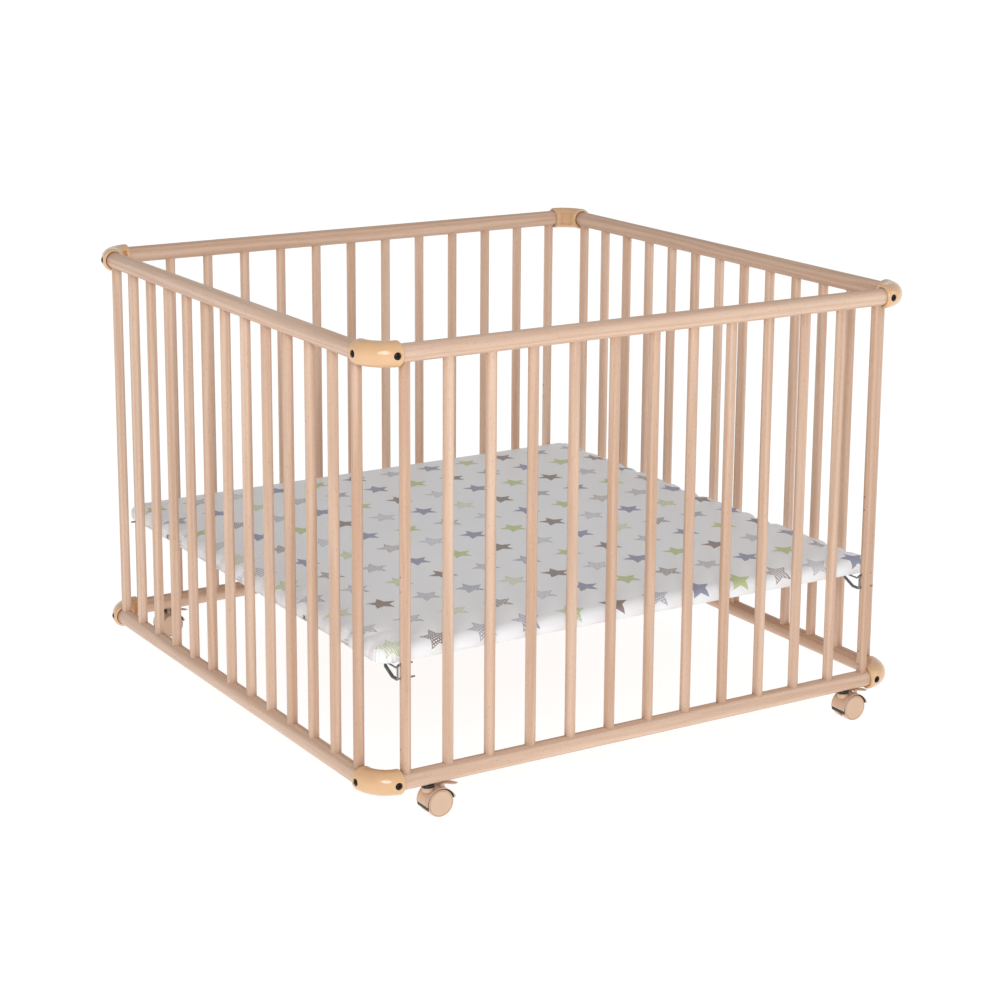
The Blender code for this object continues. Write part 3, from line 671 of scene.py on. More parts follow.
def makeElbow():
    # the front left elbow with its tube axis at height 0
    v = elbowShape
    centre = Vector((-sideAt + v["bendRadius"], -sideAt + v["bendRadius"], 0.0))
    length = v["bendRadius"] * math.pi / 2
    stops = [v["mouthRound"] * (1 - math.cos(math.pi / 2 * k / 6)) for k in range(6)]
    middle = np.linspace(v["mouthRound"], length - v["mouthRound"], 31)
    along = stops + list(middle) + [length - s for s in reversed(stops)]
    around = 56
    points, faces = [], []
    for s in along:
        angle = math.pi + s / v["bendRadius"]
        radius = elbowRadius(min(s, length - s))
        outward = Vector((math.cos(angle), math.sin(angle), 0.0))
        for k in range(around):
            turn = 2 * math.pi * k / around
            rise = Vector((0, 0, radius * math.sin(turn)))
            points.append(centre + outward * (v["bendRadius"] + radius * math.cos(turn)) + rise)
    for i in range(len(along) - 1):
        for k in range(around):
            a, b = i * around + k, i * around + (k + 1) % around
            faces.append((a, b, b + around, a + around))
    faces.append(tuple(range(around))[::-1])
    faces.append(tuple(range((len(along) - 1) * around, len(along) * around)))
    bm = bmesh.new()
    bm.from_mesh(meshFrom("elbowTube", points, faces))
    tube = meshOf(bm, "elbowTube")

    tools = bmesh.new()
    end = -sideAt + v["bendRadius"]                      # where the mouths are
    for axis, middlePoint in (((1, 0, 0), (end, -sideAt, 0.0)), ((0, 1, 0), (-sideAt, end, 0.0))):
        profile = [(0.0, -v["socketDepth"]), (v["socketRadius"], -v["socketDepth"]), (v["socketRadius"], -0.0018),
                   (v["flareRadius"], 0.0), (v["flareRadius"], 0.01), (0.0, 0.01)]
        latheInto(tools, profile, middlePoint, axis, 40)
    screwAt = -sideAt + v["screwOffset"]
    for axis, middlePoint in (((0, -1, 0), (screwAt, -sideAt, 0.0)), ((-1, 0, 0), (-sideAt, screwAt, 0.0))):
        rim = v["screwSeat"] + 0.0017
        profile = [(0.0, v["screwSeat"]), (v["recessRadius"], v["screwSeat"]), (v["recessRadius"], rim),
                   (v["recessRadius"] + 0.0022, rim + 0.0030), (0.0, rim + 0.0030)]
        latheInto(tools, profile, middlePoint, axis, 32)
    wedge = [(centre.x, centre.y)]
    first, last = math.radians(180 + v["panelFrom"]), math.radians(270 - v["panelFrom"])
    for k in range(17):
        angle = first + (last - first) * k / 16
        wedge.append((centre.x + v["panelRadius"] * math.cos(angle), centre.y + v["panelRadius"] * math.sin(angle)))
    prismInto(tools, wedge, -v["panelHalfHeight"], v["panelHalfHeight"])
    elbow = cutMesh(tube, meshOf(tools, "elbowTools"), "elbow")

    studs = bmesh.new()                                  # three low square bosses on the sunk wall
    for degrees in (217.0, 225.0, 233.0):
        angle = math.radians(degrees)
        outward = Vector((math.cos(angle), math.sin(angle), 0))
        sideways = Vector((-math.sin(angle), math.cos(angle), 0))
        base = centre + outward * (v["panelRadius"] - 0.0004)
        eight = []
        for deep, half in ((0.0008, 0.0016), (-0.0004, 0.0013)):
            for su, sw in ((-1, -1), (1, -1), (1, 1), (-1, 1)):
                aside = sideways * su * half + Vector((0, 0, sw * half))
                eight.append(studs.verts.new(base + outward * deep + aside))
        lowFour, highFour = eight[:4], eight[4:]
        studs.faces.new(lowFour)
        studs.faces.new(highFour[::-1])
        for k in range(4):
            studs.faces.new((lowFour[k], highFour[k], highFour[(k + 1) % 4], lowFour[(k + 1) % 4]))
    bmesh.ops.recalc_face_normals(studs, faces=studs.faces)
    studs.from_mesh(elbow)
    elbow.clear_geometry()
    studs.to_mesh(elbow)
    studs.free()
    return shadeByAngle(elbow, 30.0)


def makeCornerScrews():
    # the two screws of the front left corner, at height 0: domed heads with a six-sided socket
    v = elbowShape
    bm = bmesh.new()
    tools = bmesh.new()
    screwAt = -sideAt + v["screwOffset"]
    for axis, middlePoint in (((0, -1, 0), (screwAt, -sideAt, 0.0)), ((-1, 0, 0), (-sideAt, screwAt, 0.0))):
        seat, top = v["screwSeat"], v["screwSeat"] + v["headHeight"]
        radius = v["headRadius"]
        profile = [(0.0, seat - 0.006), (0.0021, seat - 0.006), (0.0021, seat - 0.0001), (radius, seat),
                   (radius, seat + 0.0006), (radius * 0.93, seat + 0.0011), (radius * 0.78, seat + 0.0016),
                   (radius * 0.55, top - 0.0001), (0.0, top)]
        latheInto(bm, profile, middlePoint, axis, 28)
        latheInto(tools, [(0.0, top - 0.0014), (0.0019, top - 0.0014), (0.0021, top + 0.001), (0.0, top + 0.001)],
                  middlePoint, axis, 6)
    screws = cutMesh(meshOf(bm, "screwHeads"), meshOf(tools, "screwTools"), "cornerScrew")
    return shadeByAngle(screws, 30.0)


def makeFourCornersTree():
    # sets a part of the front left corner out at all four corners and both rail heights
    tree, put, out = openGroup(
        "fourCorners",
        [("Geometry", "NodeSocketGeometry", None), ("Low Height", "NodeSocketFloat", 0.0),
         ("Top Height", "NodeSocketFloat", 0.0), ("Corner Count", "NodeSocketInt", 4),
         ("Finish", "NodeSocketMaterial", None)],
        [("Geometry", "NodeSocketGeometry")], "GeometryNodeTree")
    sets = []
    for label in ("Low Height", "Top Height"):
        start = combine(tree, z=put[label])
        line = addNode(tree, "GeometryNodeMeshLine",
                       {"Count": put["Corner Count"], "Start Location": start, "Offset": (0, 0, 0)})
        turn = doMath(tree, "MULTIPLY", addNode(tree, "GeometryNodeInputIndex").outputs[0], math.pi / 2)
        spin = combine(tree, z=turn)
        turned = addNode(tree, "GeometryNodeInstanceOnPoints",
                         {"Points": line.outputs[0], "Instance": put["Geometry"], "Rotation": spin})
        sets.append(turned.outputs[0])
    return closeTree(tree, joinGeometry(tree, *sets), put, out)


cornerTree = makeFourCornersTree()
heights = {"Low Height": lowRailZ, "Top Height": topRailZ}
elbows = runTree("cornerElbows", cornerTree, {**heights, "Finish": elbowPlastic}, makeElbow())
cornerNames = [level + "_" + corner for level in ("low", "top") for corner in corners]
finishPiece("cornerElbows", elbows, None, "frame", ["elbow_" + name for name in cornerNames])
screws = runTree("cornerScrews", cornerTree, {**heights, "Finish": screwBlack}, makeCornerScrews())
finishPiece("cornerScrews", screws, None, "frame",
            ["screw_" + name + "_" + which for name in cornerNames for which in "ab"])
print("corners made")


castorShape = {
    "trail": 0.0145,           # from the swivel axis to the axle, towards +X
    "wheelRadius": 0.02219,
    "axleZ": 0.022223,
    "wheelInner": 0.0048,      # |y| of a wheel's inner and outer faces
    "wheelOuter": 0.0168,
    "hoodRadius": 0.0250,
    "hoodBore": 0.0233,
    "shadeSheetRadius": 0.0240,     # where the black sheet of painted shade meets the hood's inner face
    "hoodHalfWidth": 0.0172,
    "hoodFrom": 12.0,
    "hoodTo": 184.0,
    # the black sheet of painted shade runs on past the hood's back end to this angle, where it shows as a dark recess
    # line
    "shadeSheetTo": 200.0,
    "webHalf": 0.0039,
    "webRadius": 0.0200,       # below the hood
    "leverX": 0.0085,          # lever's hinge from the axle
    "leverZ": 0.0487,
    "leverReach": 0.030,
    "leverDrop": 0.0062,
}


def makeWheel(sign):
    v = castorShape
    r, inner, outer = v["wheelRadius"], v["wheelInner"], v["wheelOuter"]
    profile = [(0.0, inner), (0.0060, inner), (0.0068, inner + 0.0012), (0.0185, inner + 0.0012), (0.0192, inner),
               (r - 0.0016, inner), (r - 0.0005, inner + 0.0004), (r, inner + 0.0015), (r, outer - 0.0024),
               (r - 0.0003, outer - 0.0013), (r - 0.0010, outer - 0.0005), (r - 0.0018, outer - 0.0002),
               (r - 0.0020, outer - 0.0012), (r - 0.0025, outer - 0.0012), (r - 0.0028, outer - 0.0001),
               (r - 0.0060, outer), (0.0090, outer), (0.0, outer - 0.0001)]
    bm = bmesh.new()
    latheInto(bm, profile, (v["trail"], 0.0, v["axleZ"]), (0, sign, 0), 64)
    return shadeByAngle(meshOf(bm, "wheel"), 38.0)


def makeHousing():
    v = castorShape
    bm = bmesh.new()
    half, outer, bore = v["hoodHalfWidth"], v["hoodRadius"], v["shadeSheetRadius"]
    edge = [(bore, 0.0003), (bore + 0.0004, 0.0), (outer - 0.0006, 0.0), (outer - 0.0001, 0.0006),
            (outer, 0.0020), (outer, 0.0034), (outer - 0.0004, 0.0040)]      # radius, distance from a rim
    section = [(r, -half + y) for r, y in edge] + [(r, half - y) for r, y in reversed(edge)]
    steps = 44
    rings = []
    for i in range(steps + 1):
        share = i / steps
        angle = math.radians(v["hoodFrom"] + (v["hoodTo"] - v["hoodFrom"]) * share)
        flare = 0.0026 * max(0.0, 1 - share / 0.25) ** 2          # the front lip stands off the wheels
        c, s = math.cos(angle), math.sin(angle)
        rings.append([bm.verts.new((v["trail"] + (r + flare) * c, y, v["axleZ"] + (r + flare) * s))
                      for r, y in section])
    count = len(section)
    for one, two in zip(rings, rings[1:]):
        for k in range(count):
            bm.faces.new((one[k], one[(k + 1) % count], two[(k + 1) % count], two[k]))
    bm.faces.new(rings[0])
    bm.faces.new(rings[-1][::-1])
    boss = [(0.0, 0.0400), (0.0090, 0.0400), (0.0090, 0.0440), (0.0084, 0.0464), (0.0078, 0.0472),
            (0.0034, 0.0472), (0.0034, 0.0460), (0.0, 0.0460)]
    latheInto(bm, boss, (0, 0, 0), (0, 0, 1), 32)
    for sign in (-1, 1):
        x = v["trail"] + v["leverX"]
        low, high = sorted((sign * 0.0057, sign * 0.0076))
        lug = [(x - 0.0040, 0.0436), (x + 0.0036, 0.0420), (x + 0.0024, 0.0494), (x + 0.0012, 0.0506),
               (x - 0.0012, 0.0506), (x - 0.0024, 0.0494)]
        prismInto(bm, lug, low, high, "Y")
    mesh = meshOf(bm, "housing")
    return shadeByAngle(bevelled(mesh, "housing", 0.00022, 2, 50.0), 35.0)


def makeCore():
    # black web between the wheels, a black sheet of painted shade inside the hood that runs on past its back end, and
    # the axle
    v = castorShape
    bm = bmesh.new()
    hooded = range(int(v["hoodFrom"]), int(v["shadeSheetTo"]) + 1, 4)         # in degrees round the axle
    below = range(int(v["shadeSheetTo"]) + 4, 368, 6)

    def arc(degrees, radius):
        angles = [math.radians(d) for d in degrees]
        return [(v["trail"] + radius * math.cos(a), v["axleZ"] + radius * math.sin(a)) for a in angles]

    web = arc(hooded, v["shadeSheetRadius"]) + arc(below, v["webRadius"])
    prismInto(bm, web, -v["webHalf"], v["webHalf"], "Y")
    wall = v["hoodHalfWidth"] - 0.0004
    # painted shade: a thin black sheet over the underside of the hood on both sides of the web
    shadeSheet = arc(hooded, v["shadeSheetRadius"]) + arc(reversed(hooded), v["hoodBore"])
    for low, high in ((-wall, -v["webHalf"]), (v["webHalf"], wall)):
        prismInto(bm, shadeSheet, low, high, "Y")
    latheInto(bm, [(0.0, -0.0155), (0.0020, -0.0155), (0.0020, 0.0155), (0.0, 0.0155)],
              (v["trail"], 0, v["axleZ"]), (0, 1, 0), 16)
    mesh = bpy.data.meshes.new("core")
    bmesh.ops.recalc_face_normals(bm, faces=bm.faces)
    bm.to_mesh(mesh)
    bm.free()
    return shadeByAngle(mesh, 35.0)


def makeLever():
    # a tongue that widens and then runs out to a rounded point, slightly crowned
    v = castorShape
    x0, z0 = v["trail"] + v["leverX"], v["leverZ"]
    stations = [(0.0, 0.0030, 0.0006), (0.03, 0.0046, 0.0011), (0.12, 0.0050, 0.0013), (0.26, 0.0052, 0.0012),
                (0.36, 0.0066, 0.0012), (0.46, 0.0078, 0.0012), (0.56, 0.0080, 0.0012), (0.68, 0.0071, 0.0011),
                (0.80, 0.0054, 0.0010), (0.91, 0.0032, 0.0009), (0.97, 0.0017, 0.0007), (1.0, 0.0006, 0.0004)]
    around = 16
    points, faces = [], []
    for share, half, thick in stations:
        lift = 0.0010 * math.sin(math.pi * share) + 0.0007 * max(0.0, share - 0.8) / 0.2
        for k in range(around):
            a = 2 * math.pi * k / around
            c, s = math.cos(a), math.sin(a)
            y = half * math.copysign(abs(c) ** 0.55, c)
            z = thick * math.copysign(abs(s) ** 0.55, s)
            crown = 0.0006 * (1 - (y / max(half, 1e-6)) ** 2)
            points.append((x0 + share * v["leverReach"], y, z0 - share * v["leverDrop"] + lift + z + crown))
    for i in range(len(stations) - 1):
        for k in range(around):
            a, b = i * around + k, i * around + (k + 1) % around
            faces.append((a, b, b + around, a + around))
    faces.append(tuple(range(around))[::-1])
    faces.append(tuple(range((len(stations) - 1) * around, len(stations) * around)))
    bm = bmesh.new()
    bm.from_mesh(meshFrom("leverTongue", points, faces))
    latheInto(bm, [(0.0, -0.0052), (0.0017, -0.0052), (0.0017, 0.0052), (0.0, 0.0052)], (x0, 0, z0), (0, 1, 0), 14)
    latheInto(bm, [(0.0, -0.0072), (0.0010, -0.0072), (0.0010, 0.0072), (0.0, 0.0072)], (x0, 0, z0), (0, 1, 0), 10)
    for rib in (0.66, 0.74, 0.82):                                # finger ribs on top
        x = x0 + rib * v["leverReach"]
        z = z0 - rib * v["leverDrop"] + 0.0010 * math.sin(math.pi * rib) + 0.0016
        halfRib = 0.0040 - 0.012 * (rib - 0.66)
        profile = [(0.0, -halfRib), (0.0004, -halfRib + 0.0002), (0.0004, halfRib - 0.0002), (0.0, halfRib)]
        latheInto(bm, profile, (x, 0, z), (0, 1, 0), 8)
    return shadeByAngle(meshOf(bm, "lever"), 40.0)


def makeCollar():
    bottom = lowRailZ - 0.014
    bm = bmesh.new()
    profile = [(0.0, 0.0474), (0.0060, 0.0474), (0.0098, 0.0477), (0.0105, 0.0483), (0.0105, 0.0492),
               (0.0099, 0.0496), (0.0099, 0.0503), (0.0105, 0.0507), (0.0105, bottom - 0.0006),
               (0.0100, bottom + 0.0004), (0.0042, bottom + 0.0008),
               (0.0042, bottom + 0.008), (0.0, bottom + 0.008)]
    latheInto(bm, profile, (0, 0, 0), (0, 0, 1), 36)
    return shadeByAngle(meshOf(bm, "collar"), 35.0)


housing, core, lever, collar = makeHousing(), makeCore(), makeLever(), makeCollar()
wheels = {"a": makeWheel(-1), "b": makeWheel(1)}
collars = bmesh.new()
for corner in corners:
    joint = next(j for j in frame["joints"] if j["name"] == "castor_" + corner + "_swivel")
    shift = Matrix.Translation((joint["pos_m"][0], joint["pos_m"][1], 0.0))
    finishPiece("housing_" + corner, placed(housing, "housing_" + corner, shift), castorPlastic, "castor_" + corner,
                ["castor_" + corner])
    finishPiece("core_" + corner, placed(core, "core_" + corner, shift), blackPlasticAndPaintedShade, "castor_" + corner,
                [])
    for which in "ab":
        finishPiece("roller_" + corner + "_" + which, placed(wheels[which], "roller", shift), castorPlastic,
                    "wheel_" + corner + "_" + which, ["wheel_" + corner + "_" + which])
    finishPiece("pedal_" + corner, placed(lever, "pedal", shift), castorPlastic, "lever_" + corner,
                ["lever_" + corner])
    collars.from_mesh(placed(collar, "oneCollar", shift))
collarMesh = bpy.data.meshes.new("stemCollars")
collars.to_mesh(collarMesh)
collars.free()
finishPiece("stemCollars", shadeByAngle(collarMesh, 35.0), blackPlasticAndPaintedShade, "frame",
            ["collar_" + corner for corner in corners])
print("castors made")


wireBracket = {
    "Wire Radius": 0.0015,
    "Bend Radius": 0.0032,
    "Wire Sides": 16,
    "plane": -0.0115,          # X of the triangle's plane from the bar's axis
    "beside": -0.0146,         # X of the second wire
    "prongZ": 0.230,
    "prongSpacing": 0.023,
    "runHeight": 0.0160,
    "reach": 0.050,
}


def makeBentWireTree():
    tree, put, out = openGroup(
        "bentWire",
        [("Geometry", "NodeSocketGeometry", None), ("Wire Radius", "NodeSocketFloat", 0.0015),
         ("Bend Radius", "NodeSocketFloat", 0.003), ("Wire Sides", "NodeSocketInt", 16),
         ("Finish", "NodeSocketMaterial", None)],
        [("Geometry", "NodeSocketGeometry")], "GeometryNodeTree")
    line = addNode(tree, "GeometryNodeMeshToCurve", {"Mesh": put["Geometry"]})
    bent = addNode(tree, "GeometryNodeFilletCurve", {"Curve": line.outputs[0], "Radius": put["Bend Radius"]})
    if "Mode" in bent.inputs:
        bent.inputs["Mode"].default_value = "Poly"
    else:
        bent.mode = "POLY"
    bent.inputs["Count"].default_value = 7
    bent.inputs["Limit Radius"].default_value = True
    profile = addNode(tree, "GeometryNodeCurvePrimitiveCircle",
                      {"Resolution": put["Wire Sides"], "Radius": put["Wire Radius"]})
    wire = addNode(tree, "GeometryNodeCurveToMesh",
                   {"Curve": bent.outputs[0], "Profile Curve": profile.outputs[0], "Fill Caps": True})
    smooth = addNode(tree, "GeometryNodeSetShadeSmooth", {"Geometry": wire.outputs[0], "Shade Smooth": True})
    return closeTree(tree, smooth.outputs[0], put, out)


def bracketLines(barX):
    v = wireBracket
    p, b, rise, step = v["plane"], v["beside"], v["runHeight"], v["prongSpacing"]
    main = [(0.0165, 0, 0), (p, 0, 0), (p, 0.016, 0), (p, v["reach"], rise), (p, 0.007, rise), (p, 0, step),
            (0.0125, 0, step)]
    second = [(p, 0.042, 0.0128), (b, 0.037, 0.0100), (b, 0.015, -0.0006), (b, -0.0025, -0.0006),
              (b, -0.0025, 0.0200),
              (p, -0.0004, step - 0.0010)]
    points, edges = [], []
    for path in (main, second):
        start = len(points)
        points += [(barX + x, -sideAt + y, v["prongZ"] + z) for x, y, z in path]
        edges += [(start + i, start + i + 1) for i in range(len(path) - 1)]
    mesh = bpy.data.meshes.new("bracketLines")
    mesh.from_pydata(points, edges, [])
    return mesh


wireTree = makeBentWireTree()
wireValues = {k: wireBracket[k] for k in ("Wire Radius", "Bend Radius", "Wire Sides")}
for corner, barX, turn in (("front_left", -0.448, 0.0), ("front_right", 0.448, 0.0), ("back_right", -0.448, math.pi),
                           ("back_left", 0.448, math.pi)):
    lines = bracketLines(barX)
    lines.transform(Matrix.Rotation(turn, 4, "Z"))
    wires = runTree("wire_" + corner, wireTree, {**wireValues, "Finish": wireSteel}, lines)
    finishPiece("wire_" + corner, wires, None, "bracket_" + corner, ["bracket_" + corner])
print("brackets made")


padShape = {
    "half": 0.4840,            # half width before it swells
    "corner": 0.0310,
    "top": 0.2742,
    "bottom": 0.2479,
    "topRound": 0.0155,
    "lowRound": 0.0045,
    "hemWidth": 0.024,
    "hemThickness": 0.0007,
    "slotWidth": 0.0224,       # of the slot over the hem, where the board's edge sits
    "pressure": 4.0,
    "frames": 14,
    "swell": 0.0036,           # the most a point may move as it swells
    "quickSwell": 0.0030,      # rise of the top when the cloth is left out
    "gather": 0.0008,         # height of the gathers at the corners
    "gatherPitch": 0.0070,
    "pucker": 0.0075,          # depth of the folds across the left and right edges
    "puckerPitch": 0.047,
    "puckerReach": 0.080,
    "boardTop": 0.2558,
    "boardHalf": 0.4774,
    "boardCorner": 0.0242,
}


def padSteps():
    # coordinates across the pad, close together near its edges
    v = padShape
    edge = np.linspace(0.0, 0.075, 34)
    middle = np.linspace(0.075, v["half"], 31)[1:]
    half = np.concatenate([edge, middle])
    low = half - v["half"]
    return np.concatenate([low, -low[::-1][1:]])


def squareToRounded(x, y, half, radius):
    # keeps a point of the square, but swings the corner cells onto a quarter disc
    a, b = abs(x) - (half - radius), abs(y) - (half - radius)
    if a <= 0 or b <= 0:
        return x, y
    reach, size = max(a, b), math.hypot(a, b)
    return (math.copysign(half - radius + a / size * reach, x), math.copysign(half - radius + b / size * reach, y))


def fromHeart(x, y, inner):
    # the way out of a rounded square at a point of its edge; inner is half the square inside its corners
    direction = Vector((x - max(-inner, min(inner, x)), y - max(-inner, min(inner, y)), 0.0))
    if direction.length < 1e-9:
        alongY = abs(y) > abs(x)
        direction = Vector((0.0, math.copysign(1.0, y), 0.0) if alongY else (math.copysign(1.0, x), 0.0, 0.0))
    return direction.normalized()


def makePadShell():
    # top grid, sides and the hem that is turned under, as points, faces and their place on the printed film
    v = padShape
    steps = padSteps()
    n = len(steps)
    topHalf = v["half"] - v["topRound"]
    points, film, faces, pins = [], [], [], []
    for j in range(n):
        for i in range(n):
            x, y = (steps[k] * topHalf / v["half"] for k in (i, j))
            x, y = squareToRounded(x, y, topHalf, v["corner"] - v["topRound"])
            points.append((x, y, v["top"]))
            film.append((x, y, 0.0))
    for j in range(n - 1):
        for i in range(n - 1):
            a = j * n + i
            faces.append((a, a + 1, a + n + 1, a + n))
    ring = list(range(n)) + [j * n + n - 1 for j in range(1, n)]
    ring += [(n - 1) * n + i for i in range(n - 2, -1, -1)] + [j * n for j in range(n - 2, 0, -1)]
    count = len(ring)
    outward = [fromHeart(points[k][0], points[k][1], topHalf - (v["corner"] - v["topRound"])) for k in ring]
    upper, lower, top, bottom = v["topRound"], v["lowRound"], v["top"], v["bottom"]
    levels = []                                            # (out past the top grid, height, length of film)
    for k in range(1, 6):
        a = math.pi / 2 * k / 5
        levels.append((upper * math.sin(a), top - upper * (1 - math.cos(a)), upper * a))
    straight = top - upper - (bottom + lower)
    for k in range(1, 4):
        levels.append((upper, top - upper - straight * k / 4, upper * math.pi / 2 + straight * k / 4))
    used = upper * math.pi / 2 + straight
    for k in range(0, 5):
        a = math.pi / 2 * k / 4
        levels.append((upper - lower * (1 - math.cos(a)), bottom + lower * (1 - math.sin(a)), used + lower * a))
    used += lower * math.pi / 2
    for k in range(1, 4):
        hem = v["hemWidth"] * k / 3
        levels.append((upper - lower - hem, bottom, used + hem))
    previous = ring
    for number, (reach, z, length) in enumerate(levels):
        row = []
        for k in range(count):
            x, y = points[ring[k]][:2]
            row.append(len(points))
            points.append((x + outward[k].x * reach, y + outward[k].y * reach, z))
            film.append((x + outward[k].x * length, y + outward[k].y * length, 0.0))
            if number >= len(levels) - 4:
                pins.append(row[-1])
        for k in range(count):
            m = (k + 1) % count
            faces.append((previous[k], row[k], row[m], previous[m]))
        previous = row
    return points, film, faces, pins


def swellPad(points, faces, pins):
    # cloth with air pressure, held at the hem; returns the points where they come to rest
    v = padShape
    shell = asObject("padCloth", meshFrom("padCloth", points, faces))
    held = shell.vertex_groups.new(name="held")
    held.add(pins, 1.0, "REPLACE")
    cloth = shell.modifiers.new("cloth", "CLOTH")
    for name, value in {"quality": 5, "mass": 0.3, "tension_stiffness": 25, "compression_stiffness": 25,
                        "bending_stiffness": 1.5, "use_pressure": True, "uniform_pressure_force": v["pressure"],
                        "vertex_group_mass": "held"}.items():
        setattr(cloth.settings, name, value)
    cloth.settings.effector_weights.gravity = 0.0
    cloth.collision_settings.use_collision = False
    scene = bpy.context.scene
    for number in range(1, v["frames"] + 1):
        scene.frame_set(number)
    bpy.context.view_layer.update()
    result = shell.evaluated_get(bpy.context.evaluated_depsgraph_get()).to_mesh()
    moved = np.array([p.co for p in result.vertices], float)
    scene.frame_set(1)
    bpy.data.objects.remove(shell, do_unlink=True)
    rest = np.array(points, float)
    shift = moved - rest
    size = np.linalg.norm(shift, axis=1)
    limited = v["swell"] * np.tanh(size / v["swell"])
    shift *= np.where(size > 1e-9, limited / np.maximum(size, 1e-9), 0.0)[:, None]
    return rest + shift


def gatherCorners(points):
    # small folds where the film is drawn in round the corners, and slack along the sides
    v = padShape
    out = points.copy()
    inner = v["half"] - v["corner"]
    middleZ = (v["top"] + v["bottom"]) / 2
    for n, (x, y, z) in enumerate(points):
        edge = max(abs(x), abs(y))
        if edge < v["half"] - 0.060:
            continue
        side = Vector((x - max(-inner, min(inner, x)), y - max(-inner, min(inner, y)), 0.0))
        angle = math.atan2(abs(y) - inner, abs(x) - inner)
        if abs(x) > inner and abs(y) > inner:
            run = (angle - math.pi / 4) * v["corner"]
        elif abs(x) > abs(y):
            run = -math.pi / 4 * v["corner"] - (inner - abs(y))
        else:
            run = math.pi / 4 * v["corner"] + (inner - abs(x))
        near = math.exp(-(max(0.0, abs(run) - 0.020) / 0.020) ** 2)
        seed = (1 if x > 0 else 0) + (2 if y > 0 else 0)
        wave = math.sin(2 * math.pi * run / v["gatherPitch"] + seed * 1.7 + 1.1 * math.sin(run * 190 + seed))
        wave += 0.4 * math.sin(2 * math.pi * run / (v["gatherPitch"] * 0.72) + seed * 2.9)
        depth = min(1.0, max(0.0, (v["top"] + 0.002 - z) / 0.016))
        onTop = min(1.0, max(0.0, (edge - (v["half"] - 0.030)) / 0.026)) * 0.35
        amount = v["gather"] * near * max(depth, onTop) * wave
        direction = side.normalized() if side.length > 1e-6 else Vector((0, 0, 0))
        upper = 1.0 if z > middleZ else 0.25
        if edge > v["half"] - 0.012:
            out[n, 0] += direction.x * amount
            out[n, 1] += direction.y * amount
        out[n, 2] += amount * 0.55 * upper * (1.0 if z > v["bottom"] + 0.003 else 0.0)
        slack = 0.0007 * math.sin((x + 2.1 * y) * 23.0 + 1.3) * math.sin((y - 0.7 * x) * 41.0)
        if edge > v["half"] - 0.004 and z < v["top"] - 0.006:
            out[n, 0] += direction.x * slack
            out[n, 1] += direction.y * slack
        if abs(x) > v["half"] - v["puckerReach"] and z > v["bottom"] + 0.004:
            inward = (v["half"] - abs(x)) / v["puckerReach"]
            phase = 2 * math.pi * y / v["puckerPitch"] + 1.4 * math.sin(y * 17.0 + (2.0 if x > 0 else 0.0))
            fold = (0.5 + 0.5 * math.sin(phase + 1.2 * inward)) ** 2 * (0.6 + 0.4 * math.sin(y * 29.0 + 0.8))
            depth = v["pucker"] * fold * max(0.0, 1.0 - inward) ** 1.5 * min(1.0, max(0.0, (inner - abs(y)) / 0.03))
            out[n, 2] -= depth
            out[n, 0] -= math.copysign(depth * (0.9 if edge > v["half"] - 0.012 else 0.0), x)
    return out


def makePad():
    v = padShape
    points, film, faces, pins = makePadShell()
    settled = swellPad(points, faces, pins)
    mesh = meshFrom("floorPad", settled, faces)
    attribute = mesh.attributes.new("printPlace", "FLOAT_VECTOR", "POINT")
    attribute.data.foreach_set("vector", np.array(film, np.float32).ravel())
    shell = asObject("padShell", mesh)
    smooth = shell.modifiers.new("smooth", "SUBSURF")
    smooth.levels = 1
    smooth.render_levels = 1
    fine = evaluated(shell, "floorPad")
    co = np.array([p.co for p in fine.vertices], float)
    co = gatherCorners(co)
    fine.vertices.foreach_set("co", co.astype(np.float32).ravel())
    # close the underside: the hem's thickness, the slot that holds the board, and the foam over the board
    bm = bmesh.new()
    bm.from_mesh(fine)
    rim = [e for e in bm.edges if e.is_boundary]
    inner = v["half"] - v["corner"]
    under = v["bottom"] + v["hemThickness"]
    for wider, z in ((0.0, under), (v["slotWidth"], under), (0.0, v["boardTop"] + 0.0004)):
        grown = bmesh.ops.extrude_edge_only(bm, edges=rim)["geom"]
        rim = [g for g in grown if isinstance(g, bmesh.types.BMEdge)]
        for vert in (g for g in grown if isinstance(g, bmesh.types.BMVert)):
            heart = Vector((max(-inner, min(inner, vert.co.x)), max(-inner, min(inner, vert.co.y)), z))
            aside = Vector((vert.co.x, vert.co.y, z)) - heart
            vert.co = heart + aside.normalized() * (aside.length + wider)
    bmesh.ops.holes_fill(bm, edges=rim, sides=0)
    bmesh.ops.recalc_face_normals(bm, faces=bm.faces)
    for face in bm.faces:
        face.smooth = True
    bm.to_mesh(fine)
    bm.free()
    return fine


padMesh = makePad()
pad = finishPiece("floorPad", padMesh, padFilm, "base", ["floor_pad"])
print("pad made")

board = bmesh.new()
boardOutline = []
corner, reach = padShape["boardCorner"], padShape["boardHalf"] - padShape["boardCorner"]
for cx, cy, start in ((1, 1, 0), (-1, 1, 90), (-1, -1, 180), (1, -1, 270)):
    for k in range(7):
        a = math.radians(start + 15 * k)
        boardOutline.append((cx * reach + corner * math.cos(a), cy * reach + corner * math.sin(a)))
prismInto(board, boardOutline, padShape["bottom"] + padShape["hemThickness"] + 0.0001, padShape["boardTop"])
boardMesh = shadeByAngle(bevelled(meshOf(board, "baseBoard"), "baseBoard", 0.0006, 2, 50.0), 35.0)
finishPiece("baseBoard", boardMesh, hardboard, "base", ["base_board"])

stapleRow = {"Count": 15, "Spacing": 0.060, "Inset": 0.4640, "Crown": 0.0100, "Wire": 0.0004,
             "Height": padShape["bottom"]}


